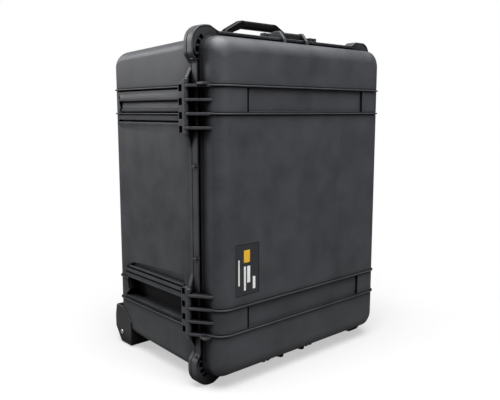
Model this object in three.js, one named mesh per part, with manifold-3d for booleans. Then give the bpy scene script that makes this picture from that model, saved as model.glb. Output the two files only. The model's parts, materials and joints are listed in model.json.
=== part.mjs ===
// Wheeled hard carry case for a telescope, standing upright on its wheel end.
// Millimetres, +Z up. x runs across the case (hinges at -x, side latches at +x), y from the lid (-y) to the back (+y).
// The exported group's origin is on the floor, under the middle of the bounding box.
// Every part is modelled in the case frame: y = 0 is the parting plane between lid and base, z = 0 is mid height.
import * as THREE from 'three';
import { mergeVertices } from 'three/addons/utils/BufferGeometryUtils.js';
import Module from 'manifold-3d';

const wasm = await Module();
wasm.setup();

// ---- Driving dimensions ----
const HALF_HEIGHT = 315; // mid height to the corner ears' tips
const LID_DEPTH = 58; // parting plane to the lid's face
const BASE_DEPTH = 280; // parting plane to the base's back wall
const BACK_Y = 294; // rearmost plane, at the wheel brackets
// Half sizes at the parting plane, how far the walls draw in with depth, and the edge and corner rounds.
const LID = { halfX: 222, halfZ: 296, depth: LID_DEPTH, edgeX: 30, edgeZ: 30, cornerR: 24, taperX: 2, taperZ: 2 };
const BASE = { halfX: 222, halfZ: 297, depth: BASE_DEPTH, edgeX: 20, edgeZ: 36, cornerR: 20, taperX: 3, taperZ: 10 };
const LID_WALL = 5;
const BASE_WALL = 6;
const PARTING_GAP = 0.2; // each half stops this far from the parting plane
const RIM = { halfX: 237.5, halfZ: 306.5, cornerR: 40, thick: 9 }; // the flange where the halves meet
const LIP = { y: -17, wide: 3.5 }; // raised edge of the lid's flange, round an open channel
const EAR_R = 31; // corner ears of the rim
const EAR_X = [-207.5, 200];
const EAR_Z = 284.5;
const STATION_X = 225; // latches and handles on the side are laid out from this plane
const STATION_Z = 293; // and those on the ends from this one
const RIB_Z = [214.3, 167.9]; // the moulded bands' ribs, mirrored about mid height
const RIB_WIDTH = 4;
const RIB_OUT = 3.2;
const PANEL_HALF = 152; // recessed panel between the ribs on the lid's face
const PANEL_SINK = 2.5;
const CLEAR = 0.4; // clearance between neighbouring pieces
const PIN_R = 2;
const PIN_HOLE_R = 2.45;
const PIN_SIDES = 8;

// hinge
const HINGE_X = -240.8;
const KNUCKLE_R = 5.2;
const FIN_Z = [214.3, 191.1, 167.9, 144.7]; // lid knuckles of the upper hinge
const FIN_THICK = 5;
const BARREL_Z = [133, 226]; // ends of the upper hinge barrel

// latch, in its own frame: x outward from the wall, y as the case, z along the rim
const LATCH_HALF = 26;
const LATCH_OUT = 21; // outer face, measured from the station's plane
const HOOK_IN = 14; // inner face of the hook, just outside the rim
const LEVER_PIN = { x: 11, y: 22 };
const HOOK_PIN = { x: 15.2, y: 34 };
const HOOK_TOP_Y = -11;
const LEVER_END_Y = 60;
const CHEEK = 5;
const SIDE_LATCH_Z = 191.1;
const GUARD_THICK = 7;

// carry handles, in the same kind of frame
const HANDLE_PIN = { x: 12, y: 88 };
const HANDLE_REACH = 54.5; // station's plane to the top of a raised handle
const HANDLE_HALF = 90;
const HANDLE_THICK = 16;

// trolley
const RAIL_X = 105;
const RAIL = { width: 46, thick: 15, bottom: -250, top: 222 };
const CHANNEL_FLOOR_Y = 270;
const LEG = { width: 32, thick: 8 };
const GRIP_HALF = 128;
const BUTTON_HALF = 14;

// wheels
const WHEEL = { r: 25, width: 38, x: 194, y: 267, z: -290 };
const BRACKET_X = [166, 222];
const BRACKET_FRONT_Y = 232;
const AXLE_R = 4;

// foam and telescope bay
const BAY = { halfX: 92, halfZ: 210, depth: 190 };

// ---- Materials ----
const material = (color, roughness, metalness = 0) =>
  new THREE.MeshStandardMaterial({ color, roughness, metalness });
const shellPlastic = material(0x35373a, 0.62);
const hardPlastic = material(0x1c1d1f, 0.5);
const rubber = material(0x141516, 0.8);
const seal = material(0x222222, 0.9);
const steel = material(0xb4b6b8, 0.3, 1);
const tyreRubber = material(0x101011, 0.7);
const foamBlack = material(0x1f2022, 0.95);
const labelInk = material(0x2a2b2d, 0.45);

// ---- Solids ----
function solid(geometry) {
  const bare = geometry.clone();
  bare.deleteAttribute('normal');
  bare.deleteAttribute('uv');
  const merged = mergeVertices(bare, 1e-3);
  return new wasm.Manifold(
    new wasm.Mesh({
      numProp: 3,
      vertProperties: merged.attributes.position.array,
      triVerts: new Uint32Array(merged.index.array),
    }),
  );
}

function geometryOf(body) {
  const mesh = body.getMesh();
  const geometry = new THREE.BufferGeometry();
  geometry.setAttribute('position', new THREE.BufferAttribute(mesh.vertProperties, 3));
  geometry.setIndex(new THREE.BufferAttribute(mesh.triVerts, 1));
  return geometry;
}

const union = (bodies) => bodies.reduce((all, body) => all.add(body));
const without = (body, cuts) => cuts.reduce((rest, cut) => rest.subtract(cut), body);

function mesh(name, body, look) {
  const made = new THREE.Mesh(geometryOf(body), look);
  made.name = name;
  return made;
}

const mirrorZ = new THREE.Matrix4().makeScale(1, 1, -1);
const mirrorX = new THREE.Matrix4().makeScale(-1, 1, 1);
const moved = (body, matrix) => body.transform(matrix.elements);
const bothZ = (body) => [body, moved(body, mirrorZ)];

// ---- Shapes ----
function box(x0, x1, y0, y1, z0, z1) {
  const geometry = new THREE.BoxGeometry(x1 - x0, y1 - y0, z1 - z0);
  return solid(geometry.translate((x0 + x1) / 2, (y0 + y1) / 2, (z0 + z1) / 2));
}

const AXES = {
  x: [new THREE.Vector3(0, 1, 0), new THREE.Vector3(0, 0, 1), new THREE.Vector3(1, 0, 0)],
  y: [new THREE.Vector3(0, 0, 1), new THREE.Vector3(1, 0, 0), new THREE.Vector3(0, 1, 0)],
  z: [new THREE.Vector3(1, 0, 0), new THREE.Vector3(0, 1, 0), new THREE.Vector3(0, 0, 1)],
};

// A shape extruded along an axis, from one coordinate to another. The shape's own axes are (y, z), (z, x) or (x, y).
function prism(shape, axis, from, to, curveSegments = 6) {
  const geometry = new THREE.ExtrudeGeometry(shape, { depth: to - from, bevelEnabled: false, curveSegments });
  geometry.translate(0, 0, from);
  return solid(geometry.applyMatrix4(new THREE.Matrix4().makeBasis(...AXES[axis])));
}

const polygon = (points) => new THREE.Shape(points.map(([a, b]) => new THREE.Vector2(a, b)));

function roundedRect(halfA, halfB, r) {
  const shape = new THREE.Shape();
  shape.absarc(halfA - r, halfB - r, r, 0, Math.PI / 2);
  shape.absarc(r - halfA, halfB - r, r, Math.PI / 2, Math.PI);
  shape.absarc(r - halfA, r - halfB, r, Math.PI, 1.5 * Math.PI);
  shape.absarc(halfA - r, r - halfB, r, 1.5 * Math.PI, 2 * Math.PI);
  return shape;
}

// A round rod along an axis through the point, between two coordinates on that axis.
function rod(axis, r, point, from, to, sides = PIN_SIDES) {
  const geometry = new THREE.CylinderGeometry(r, r, to - from, sides);
  geometry.translate(0, (from + to) / 2, 0);
  if (axis === 'z') geometry.rotateX(Math.PI / 2);
  if (axis === 'x') geometry.rotateZ(-Math.PI / 2);
  const at = { x: 0, y: 0, z: 0, ...point };
  at[axis] = 0;
  return solid(geometry.translate(at.x, at.y, at.z));
}

// A tray: a rounded rectangle extruded along y, its walls drawing in with depth and rounding over into the closed end.
const TRAY_ARC_STEPS = 4;
const arcInset = (r, past) => (past > 0 ? r - Math.sqrt(Math.max(r * r - past * past, 0)) : 0);

function tray(size, grow, open) {
  const { halfX, halfZ, cornerR, taperX, taperZ } = size;
  const [edgeX, edgeZ, depth] = [size.edgeX + grow, size.edgeZ + grow, size.depth + grow];
  const reach = Math.max(edgeX, edgeZ);
  const levels = [open];
  for (let i = 0; i <= TRAY_ARC_STEPS; i++) {
    levels.push(depth - reach * (1 - Math.sin((i / TRAY_ARC_STEPS) * (Math.PI / 2))));
  }
  const outline = roundedRect(halfZ + grow, halfX + grow, Math.max(cornerR + grow, 4));
  const steps = levels.length - 1;
  const geometry = new THREE.ExtrudeGeometry(outline, { depth: steps, steps, bevelEnabled: false, curveSegments: 3 });
  geometry.applyMatrix4(new THREE.Matrix4().makeBasis(...AXES.y));
  const position = geometry.attributes.position;
  for (let i = 0; i < position.count; i++) {
    const y = levels[Math.round(position.getY(i))];
    const share = Math.max(y, 0) / size.depth;
    const insetX = share * taperX + arcInset(edgeX, y - depth + edgeX);
    const insetZ = share * taperZ + arcInset(edgeZ, y - depth + edgeZ);
    position.setXYZ(
      i,
      position.getX(i) * (1 - insetX / (halfX + grow)),
      y,
      position.getZ(i) * (1 - insetZ / (halfZ + grow)),
    );
  }
  return solid(geometry);
}

const mirrorY = new THREE.Matrix4().makeScale(1, -1, 1);
const lidTray = (grow, open = PARTING_GAP) => moved(tray(LID, grow, open), mirrorY);
const baseTray = (grow, open = PARTING_GAP) => tray(BASE, grow, open);

// The rim outline: a rounded rectangle with a round ear at each corner, flattened at the tips so the case can stand.
function rim(y0, y1) {
  const plate = prism(roundedRect(RIM.halfZ, RIM.halfX, RIM.cornerR), 'y', y0, y1, 3);
  const ears = EAR_X.flatMap((x) => [-1, 1].map((side) => rod('y', EAR_R, { x, z: side * EAR_Z }, y0, y1, 24)));
  const limits = box(EAR_X[0] - EAR_R, RIM.halfX + 1, y0, y1, -HALF_HEIGHT, HALF_HEIGHT);
  return union([plate, ...ears]).intersect(limits);
}

// The moulded ribs: slices of a slightly larger tray.
function ribs(bigger) {
  const slices = RIB_Z.flatMap((z) => bothZ(box(-260, 260, -80, 300, z - RIB_WIDTH / 2, z + RIB_WIDTH / 2)));
  return bigger.intersect(union(slices));
}

// ---- Stations round the rim ----
// A station's frame has x pointing away from its wall, y as the case and z along the rim.
function station(side, along = 0) {
  const turn = { side: 0, top: -Math.PI / 2, bottom: Math.PI / 2 }[side];
  const place = { side: [STATION_X, 0, along], top: [along, 0, STATION_Z], bottom: [along, 0, -STATION_Z] }[side];
  return new THREE.Matrix4().makeRotationY(turn).setPosition(...place);
}

const LATCHES = {
  side_upper: station('side', SIDE_LATCH_Z),
  side_lower: station('side', -SIDE_LATCH_Z),
  top: station('top'),
  wheel_end: station('bottom'),
};
const HANDLES = {
  top: { matrix: station('top'), folded: false },
  side: { matrix: station('side'), folded: true },
  wheel_end: { matrix: station('bottom'), folded: true },
};
const atAll = (places, body) => places.map((matrix) => moved(body, matrix));
const latchPlaces = Object.values(LATCHES);
const handlePlaces = Object.values(HANDLES).map((handle) => handle.matrix);
const pairAlong = (z0, z1, make) => [make(z0, z1), make(-z1, -z0)];

// ---- Hinges ----
function hingeFin(z) {
  const blade = polygon([
    [HINGE_X - 4.4, -2],
    [HINGE_X - 3, -8],
    [-BASE.halfX - 1, -40],
    [-BASE.halfX + 3, -40],
    [-BASE.halfX + 3, -5],
    [HINGE_X, -3],
  ]);
  const from = z - FIN_THICK / 2;
  const to = z + FIN_THICK / 2;
  return prism(blade, 'z', from, to).add(rod('z', KNUCKLE_R, { x: HINGE_X, y: 0 }, from, to, 12));
}

function hingeBarrel() {
  const [from, to] = BARREL_Z;
  const web = box(HINGE_X, -BASE.halfX - 4, 1, RIM.thick, from, to);
  const barrel = rod('z', KNUCKLE_R, { x: HINGE_X, y: 0 }, from, to, 12).add(web);
  const inRim = box(HINGE_X + 2, -BASE.halfX, -KNUCKLE_R - 1, PARTING_GAP, from - 1, to + 1);
  return without(barrel, [inRim]);
}

const hingeSlot = (z) => {
  const reach = FIN_THICK / 2 + CLEAR;
  return rod('z', KNUCKLE_R + 1, { x: HINGE_X, y: 0 }, z - reach, z + reach, 12);
};
const hingePinHole = () => rod('z', PIN_HOLE_R, { x: HINGE_X, y: 0 }, BARREL_Z[0] - 1, BARREL_Z[1] + 1);

function hingePins() {
  const pin = rod('z', PIN_R, { x: HINGE_X, y: 0 }, BARREL_Z[0] + 0.5, BARREL_Z[1] - 0.5);
  return bothZ(pin).map((body, i) => mesh(['hinge_pin_upper', 'hinge_pin_lower'][i], body, steel));
}

// ---- Latches ----
const lugZ = [LATCH_HALF + 0.6, LATCH_HALF + 0.6 + GUARD_THICK];

// The guards beside each latch. The base's share carries the lever pin.
function latchGuards(y0, y1, slope) {
  const side = polygon([
    [-4, y0],
    [LATCH_OUT, y0],
    [LATCH_OUT, y0 + (y1 - y0) * slope],
    [-6, y1],
  ]);
  return union(pairAlong(...lugZ, (a, b) => prism(side, 'z', a, b)));
}

const latchPinHole = (pin, r, half) => rod('z', r, pin, -half, half);

function latchLever() {
  const cheek = polygon([
    [6.5, 18],
    [15, 18],
    [LATCH_OUT, 21],
    [LATCH_OUT, LEVER_END_Y - 6],
    [LATCH_OUT - 3.5, LEVER_END_Y - 6],
    [LATCH_OUT - 4, 44],
    [12, 40],
    [6.5, 28],
  ]);
  const plate = polygon([
    [LATCH_OUT - 4, 44],
    [LATCH_OUT, 44],
    [LATCH_OUT, LEVER_END_Y],
    [LATCH_OUT - 5, LEVER_END_Y],
    [LATCH_OUT - 5, LEVER_END_Y - 3],
    [LATCH_OUT - 3, LEVER_END_Y - 5],
  ]);
  const parts = pairAlong(LATCH_HALF - CHEEK, LATCH_HALF, (a, b) => prism(cheek, 'z', a, b));
  const body = union([...parts, prism(plate, 'z', -LATCH_HALF, LATCH_HALF)]);
  return without(body, [latchPinHole(LEVER_PIN, PIN_HOLE_R, 40), latchPinHole(HOOK_PIN, PIN_HOLE_R, 40)]);
}

function latchHook() {
  const half = LATCH_HALF - CHEEK - 0.5;
  const link = polygon([
    [HOOK_IN, HOOK_TOP_Y],
    [LATCH_OUT - 2, HOOK_TOP_Y],
    [LATCH_OUT, HOOK_TOP_Y + 3],
    [LATCH_OUT, 30],
    [LATCH_OUT - 1.5, 36],
    [HOOK_PIN.x - 1, 38],
    [11.5, 35],
    [11.8, 31],
    [HOOK_IN, 27],
  ]);
  return without(prism(link, 'z', -half, half), [latchPinHole(HOOK_PIN, PIN_HOLE_R, 40)]);
}

function latchMeshes(name, matrix) {
  const group = new THREE.Group();
  matrix.decompose(group.position, group.quaternion, group.scale);
  const leverPinHalf = lugZ[1] - 0.5;
  const hookPinHalf = LATCH_HALF - 0.5;
  group.add(
    mesh(`latch_lever_${name}`, latchLever(), hardPlastic),
    mesh(`latch_hook_${name}`, latchHook(), hardPlastic),
    mesh(`latch_lever_pin_${name}`, rod('z', PIN_R, LEVER_PIN, -leverPinHalf, leverPinHalf), steel),
    mesh(`latch_hook_pin_${name}`, rod('z', PIN_R, HOOK_PIN, -hookPinHalf, hookPinHalf), steel),
  );
  return group;
}

// ---- Carry handles ----
const HANDLE_EYE = [HANDLE_HALF - 13, HANDLE_HALF]; // the leg's end, along the rim
const HANDLE_LUG = [HANDLE_EYE[0] - 7, HANDLE_EYE[0] - CLEAR];

// A raised handle seen along the case: legs splayed outward, a straight bar on top.
function handleBow() {
  const top = HANDLE_REACH;
  const low = HANDLE_PIN.x - 6;
  const bow = polygon([
    [low, HANDLE_EYE[1]],
    [32, HANDLE_EYE[1]],
    [top, 47],
    [top, -47],
    [32, -HANDLE_EYE[1]],
    [low, -HANDLE_EYE[1]],
    [low, -HANDLE_EYE[0]],
    [26, -HANDLE_EYE[0]],
    [top - 15.5, -44],
    [top - 15.5, 44],
    [26, HANDLE_EYE[0]],
    [low, HANDLE_EYE[0]],
  ]);
  const flat = new THREE.Shape(bow.getPoints().map((p) => new THREE.Vector2(p.y, p.x)));
  const half = HANDLE_THICK / 2;
  return without(prism(flat, 'y', HANDLE_PIN.y - half, HANDLE_PIN.y + half), [
    rod('z', PIN_HOLE_R, HANDLE_PIN, -HANDLE_HALF - 5, HANDLE_HALF + 5),
  ]);
}

// The rubber grip covers the middle of the bar; the bar is cut down inside it.
const gripSpan = box(HANDLE_REACH - 15.5, HANDLE_REACH, HANDLE_PIN.y - 11, HANDLE_PIN.y + 11, -40, 40);
const gripCore = (grow) =>
  box(
    HANDLE_REACH - 12 - grow,
    HANDLE_REACH - 3.5 + grow,
    HANDLE_PIN.y - 5 - grow,
    HANDLE_PIN.y + 5 + grow,
    -41,
    41,
  );

function handleParts() {
  const core = handleBow().subtract(gripSpan).add(gripCore(0));
  const grip = prism(
    new THREE.Shape(
      roundedRect(HANDLE_THICK / 2 + 0.9, 7.75, 5).getPoints(4).map((p) => new THREE.Vector2(p.y, p.x)),
    ),
    'z',
    -39.5,
    39.5,
  );
  const placed = moved(grip, new THREE.Matrix4().makeTranslation(HANDLE_REACH - 7.75, HANDLE_PIN.y, 0));
  return { core, grip: placed.subtract(gripCore(0.3)) };
}

// A folded handle is the raised one turned about its pins, towards the back of the case.
const foldTurn = new THREE.Matrix4()
  .makeTranslation(HANDLE_PIN.x, HANDLE_PIN.y, 0)
  .multiply(new THREE.Matrix4().makeRotationZ(Math.PI / 2))
  .multiply(new THREE.Matrix4().makeTranslation(-HANDLE_PIN.x, -HANDLE_PIN.y, 0));

function handleMeshes(name, { matrix, folded }) {
  const group = new THREE.Group();
  matrix.decompose(group.position, group.quaternion, group.scale);
  const { core, grip } = handleParts();
  const pose = folded ? foldTurn : new THREE.Matrix4();
  group.add(
    mesh(`handle_${name}`, moved(core, pose), hardPlastic),
    mesh(`handle_grip_${name}`, moved(grip, pose), rubber),
  );
  const pins = pairAlong(HANDLE_LUG[0] + 1, HANDLE_EYE[1] - 1, (a, b) => rod('z', PIN_R, HANDLE_PIN, a, b));
  pins.forEach((pin, i) => group.add(mesh(`handle_pin_${name}_${'ab'[i]}`, pin, steel)));
  return group;
}

function handleLugs() {
  const lug = polygon([
    [-6, HANDLE_PIN.y - 14],
    [HANDLE_PIN.x + 2, HANDLE_PIN.y - 5],
    [HANDLE_PIN.x + 5, HANDLE_PIN.y],
    [HANDLE_PIN.x + 2, HANDLE_PIN.y + 5],
    [-6, HANDLE_PIN.y + 14],
  ]);
  return union(pairAlong(...HANDLE_LUG, (a, b) => prism(lug, 'z', a, b)));
}

// ---- Wheels ----
const wheelRod = (r, x0, x1, sides = 20) => rod('x', r, { y: WHEEL.y, z: WHEEL.z }, x0, x1, sides);
const wheelX = [WHEEL.x - WHEEL.width / 2, WHEEL.x + WHEEL.width / 2];

function wheelBracket() {
  const outline = polygon([
    [BRACKET_FRONT_Y, 2 - HALF_HEIGHT],
    [272, 2 - HALF_HEIGHT],
    [BACK_Y, -283],
    [BACK_Y, -258],
    [289, -234],
    [262, -234],
    [BRACKET_FRONT_Y, -262],
  ]);
  return without(prism(outline, 'x', ...BRACKET_X), [
    baseTray(CLEAR, -20),
    wheelRod(WHEEL.r + 2, wheelX[0] - 1.5, wheelX[1] + 1.5),
    wheelRod(AXLE_R + 0.3, 150, 230, 12),
  ]);
}

// The wheel's parts as rings round the axle, listed from the axle outward.
function wheelParts() {
  const bearing = wheelRod(11, wheelX[0] + 1, wheelX[0] + 8, 16).subtract(wheelRod(AXLE_R + 0.3, 150, 230, 16));
  const bearingSeats = [
    wheelRod(11.3, wheelX[0] - 1, wheelX[0] + 8.3, 16),
    wheelRod(11.3, wheelX[1] - 8.3, wheelX[1] + 1, 16),
  ];
  const hub = without(wheelRod(19, ...wheelX), [...bearingSeats, wheelRod(6, 150, 230, 16)]);
  const tyre = wheelRod(WHEEL.r, ...wheelX).subtract(wheelRod(19.3, 150, 230));
  const axle = wheelRod(AXLE_R, BRACKET_X[0] + 1, BRACKET_X[1] + 1, 12).add(
    wheelRod(6.5, BRACKET_X[1] + 0.4, BRACKET_X[1] + 2.6, 10),
  );
  const acrossWheel = new THREE.Matrix4().makeScale(-1, 1, 1).setPosition(2 * WHEEL.x, 0, 0);
  return {
    wheel_bracket: [wheelBracket(), hardPlastic],
    wheel_hub: [hub, hardPlastic],
    wheel_tyre: [tyre, tyreRubber],
    wheel_bearing_inner: [bearing, steel],
    wheel_bearing_outer: [moved(bearing, acrossWheel), steel],
    wheel_axle: [axle, steel],
  };
}

function wheelMeshes() {
  return Object.entries(wheelParts()).flatMap(([name, [body, look]]) => [
    mesh(`${name}_right`, body, look),
    mesh(`${name}_left`, moved(body, mirrorX), look),
  ]);
}

// ---- Trolley handle ----
const BAR = { y: 281, z: 262, half: 8 }; // the cross bar's centre line and half size
const NOTCH = { halfX: 134, y: 266.5, z: 226 }; // recess in the back for the lowered grip
const railY = [CHANNEL_FLOOR_Y + CLEAR, CHANNEL_FLOOR_Y + CLEAR + RAIL.thick];
const legY = [(railY[0] + railY[1] - LEG.thick) / 2, (railY[0] + railY[1] + LEG.thick) / 2];

function rail(x) {
  const outer = box(x - RAIL.width / 2, x + RAIL.width / 2, ...railY, RAIL.bottom, RAIL.top);
  const bore = box(
    x - LEG.width / 2 - CLEAR,
    x + LEG.width / 2 + CLEAR,
    legY[0] - CLEAR,
    legY[1] + CLEAR,
    RAIL.bottom - 1,
    RAIL.top + 1,
  );
  return outer.subtract(bore);
}

const buttonWell = (grow, z0) =>
  box(-BUTTON_HALF - grow, BUTTON_HALF + grow, BAR.y - 5 - grow, BAR.y + 5 + grow, z0, BAR.z + 30);
const trolleyNotch = () => box(-NOTCH.halfX, NOTCH.halfX, NOTCH.y, 300, NOTCH.z, 300);

function trolleyMeshes() {
  const legs = [-RAIL_X, RAIL_X].map((x) =>
    box(x - LEG.width / 2, x + LEG.width / 2, ...legY, RAIL.bottom + 15, BAR.z),
  );
  const bar = box(-GRIP_HALF + 4, GRIP_HALF - 4, BAR.y - BAR.half, BAR.y + BAR.half, BAR.z - BAR.half, BAR.z + BAR.half);
  const frame = union([bar, ...legs]).subtract(buttonWell(CLEAR, BAR.z + 2));
  const gripEnd = RAIL_X - LEG.width / 2 - 3;
  const sleeve = prism(roundedRect(12, 12, 6), 'x', -gripEnd, gripEnd, 2);
  const grip = without(moved(sleeve, new THREE.Matrix4().makeTranslation(0, BAR.y, BAR.z)), [
    box(-200, 200, BAR.y - BAR.half - 0.3, BAR.y + BAR.half + 0.3, BAR.z - BAR.half - 0.3, BAR.z + BAR.half + 0.3),
    buttonWell(CLEAR, BAR.z + 2),
  ]);
  const button = buttonWell(0, BAR.z + 7).intersect(box(-50, 50, 200, 300, 0, BAR.z + 15));
  return [
    mesh('trolley_frame', frame, hardPlastic),
    mesh('trolley_grip', grip, rubber),
    mesh('trolley_release_button', button, hardPlastic),
    mesh('trolley_rail_left', rail(-RAIL_X), hardPlastic),
    mesh('trolley_rail_right', rail(RAIL_X), hardPlastic),
  ];
}

// ---- Pressure valve and padlock plates, on the latch side ----
const VALVE = { y: 178, z: -70, capR: 13, shankR: 8 };
const PADLOCK_Z = 128;
const padlockHole = (z) => rod('y', 3.5, { x: RIM.halfX - 7.5, z }, -30, 30, 12);
const padlockBoss = (z) => box(BASE.halfX - 1, RIM.halfX, LIP.y, -RIM.thick + 1, z - 15, z + 15);

function valveMeshes() {
  const face = BASE.halfX - (BASE.taperX * VALVE.y) / BASE.depth + 0.6;
  const place = (r, from, to) => rod('x', r, { y: VALVE.y, z: VALVE.z }, face + from, face + to, 16);
  const body = place(VALVE.capR, 2.4, 7).add(place(VALVE.shankR, -14, 2.5));
  const ring = place(VALVE.capR - 1, 0.4, 2).subtract(place(VALVE.shankR + 0.4, -1, 9));
  return [mesh('pressure_valve', body, hardPlastic), mesh('pressure_valve_seal', ring, seal)];
}
const valveHole = () =>
  rod('x', VALVE.shankR + CLEAR, { y: VALVE.y, z: VALVE.z }, BASE.halfX - 30, BASE.halfX + 30, 16);

// A steel plate over the lid's rim round each padlock hole.
function padlockPlates() {
  const y = LIP.y;
  const plate = box(BASE.halfX + 1.5, RIM.halfX - 0.5, y - 2, y - 0.3, PADLOCK_Z - 13, PADLOCK_Z + 13);
  const made = plate.subtract(padlockHole(PADLOCK_Z));
  return bothZ(made).map((body, i) => mesh(`padlock_plate_${['upper', 'lower'][i]}`, body, steel));
}

// ---- Gasket ----
const SEAL_GROOVE = { out: 5.6, in: -0.6, depth: 4.4 }; // across the groove, from the walls' mean outline
const ringAt = (out, y0, y1) =>
  prism(roundedRect(LID.halfZ - 1 + out, LID.halfX + out, LID.cornerR + out), 'y', y0, y1, 3);
const sealGroove = () =>
  ringAt(SEAL_GROOVE.out, -SEAL_GROOVE.depth, 1).subtract(ringAt(SEAL_GROOVE.in, -9, 2));
const gasket = () =>
  ringAt(SEAL_GROOVE.out - 0.3, 0.4 - SEAL_GROOVE.depth, -0.4).subtract(ringAt(SEAL_GROOVE.in + 0.3, -9, 2));

// ---- Lid ----
const LABEL = { x: [-184, -128], z: [-149, -57], sink: 1.6 };

function lidShell() {
  const fins = FIN_Z.flatMap((z) => bothZ(hingeFin(z)));
  const barrelRoom = bothZ(rod('z', KNUCKLE_R + 0.9, { x: HINGE_X, y: 0 }, BARREL_Z[0] - 1, BARREL_Z[1] + 1, 16));
  const channel = prism(
    roundedRect(RIM.halfZ - LIP.wide, RIM.halfX - LIP.wide, RIM.cornerR - LIP.wide),
    'y',
    LIP.y - 1,
    -RIM.thick,
    3,
  );
  const flange = rim(LIP.y, -PARTING_GAP).subtract(channel);
  const bosses = [PADLOCK_Z, -PADLOCK_Z].map(padlockBoss);
  const guards = atAll(latchPlaces, latchGuards(LIP.y - 2, -PARTING_GAP, 1));
  const outer = union([lidTray(0), ribs(lidTray(RIB_OUT)), flange, ...bosses, ...guards]);
  const panels = bothZ(
    box(-PANEL_HALF, PANEL_HALF, -80, PANEL_SINK - LID_DEPTH, RIB_Z[1] + RIB_WIDTH / 2, RIB_Z[0] - RIB_WIDTH / 2),
  );
  const labelSeat = box(...LABEL.x, -80, LABEL.sink - LID_DEPTH, ...LABEL.z);
  const cut = without(outer, [...barrelRoom, ...panels, labelSeat, padlockHole(PADLOCK_Z), padlockHole(-PADLOCK_Z)]);
  const withFins = union([cut, ...fins]);
  const inside = lidTray(-LID_WALL, -50);
  return without(withFins, [inside, sealGroove(), ...bothZ(hingePinHole())]);
}

function label() {
  const [x0, x1] = LABEL.x;
  const [z0, z1] = LABEL.z;
  return box(x0 + 0.5, x1 - 0.5, LABEL.sink - LID_DEPTH - 1.3, LABEL.sink - LID_DEPTH - 0.3, z0 + 0.5, z1 - 0.5);
}

// ---- Base ----
// On the hinge side each band has a long pocket between raised ridges.
const HINGE_POCKET = { z: [172, 194], depth: 9, y: [14, 246] };
const HINGE_RIDGES = [
  [197, 206],
  [150, 155],
];

function hingeSideRelief() {
  const ridgeBody = baseTray(RIB_OUT, 2);
  const ridges = HINGE_RIDGES.flatMap(([z0, z1]) => bothZ(box(-260, -190, 2, 262, z0, z1)));
  const pocket = polygon([
    [-BASE.halfX - 9, HINGE_POCKET.y[0]],
    [-BASE.halfX + HINGE_POCKET.depth, HINGE_POCKET.y[0]],
    [-BASE.halfX + HINGE_POCKET.depth + 4, HINGE_POCKET.y[1] - 12],
    [-BASE.halfX - 9, HINGE_POCKET.y[1] + 12],
  ]);
  return { ridges: ridgeBody.intersect(union(ridges)), pockets: bothZ(prism(pocket, 'z', ...HINGE_POCKET.z)) };
}

// Finger room under each side latch lever.
const fingerRoom = bothZ(box(BASE.halfX - 7, BASE.halfX + 9, 40, 76, SIDE_LATCH_Z - 24, SIDE_LATCH_Z + 24));

function baseInside() {
  const keep = [
    ...bothZ(box(-260, HINGE_POCKET.depth + 9 - BASE.halfX, -5, 264, HINGE_POCKET.z[0] - 5, HINGE_POCKET.z[1] + 5)),
    ...bothZ(box(BASE.halfX - 13, 260, 30, 86, SIDE_LATCH_Z - 29, SIDE_LATCH_Z + 29)),
    box(-NOTCH.halfX - 6, NOTCH.halfX + 6, NOTCH.y - BASE_WALL, 300, NOTCH.z - 6, 300),
    ...[-RAIL_X, RAIL_X].map((x) => box(x - 29, x + 29, CHANNEL_FLOOR_Y - 5, 300, -300, 300)),
    ...[-1, 1].map((side) => {
      const [a, b] = side > 0 ? [wheelX[0] - 7, wheelX[1] + 7] : [-wheelX[1] - 7, 7 - wheelX[0]];
      return wheelRod(WHEEL.r + 8, a, b);
    }),
  ];
  return without(baseTray(-BASE_WALL, -20), keep);
}

function baseShell() {
  const { ridges, pockets } = hingeSideRelief();
  const guards = atAll(latchPlaces, latchGuards(PARTING_GAP, 40, 0.6));
  const outer = union([
    baseTray(0),
    ribs(baseTray(RIB_OUT)),
    ridges,
    rim(PARTING_GAP, RIM.thick),
    ...bothZ(hingeBarrel()),
    ...guards,
    ...atAll(handlePlaces, handleLugs()),
  ]);
  const channels = [-RAIL_X, RAIL_X].map((x) =>
    box(x - RAIL.width / 2 - 1, x + RAIL.width / 2 + 1, CHANNEL_FLOOR_Y, 300, RAIL.bottom - 3, NOTCH.z + 9),
  );
  const wheelRoom = [
    wheelRod(WHEEL.r + 2.4, wheelX[0] - 1.8, wheelX[1] + 1.8),
    wheelRod(WHEEL.r + 2.4, -wheelX[1] - 1.8, 1.8 - wheelX[0]),
  ];
  const pinHoles = [
    ...atAll(latchPlaces, rod('z', PIN_HOLE_R, LEVER_PIN, -40, 40)),
    ...atAll(handlePlaces, rod('z', PIN_HOLE_R, HANDLE_PIN, -HANDLE_HALF, HANDLE_HALF)),
  ];
  return without(outer, [
    baseInside(),
    ...pockets,
    ...fingerRoom,
    ...channels,
    trolleyNotch(),
    ...wheelRoom,
    ...pinHoles,
    ...FIN_Z.flatMap((z) => bothZ(hingeSlot(z))),
    ...bothZ(hingePinHole()),
    valveHole(),
    padlockHole(PADLOCK_Z),
    padlockHole(-PADLOCK_Z),
  ]);
}

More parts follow.
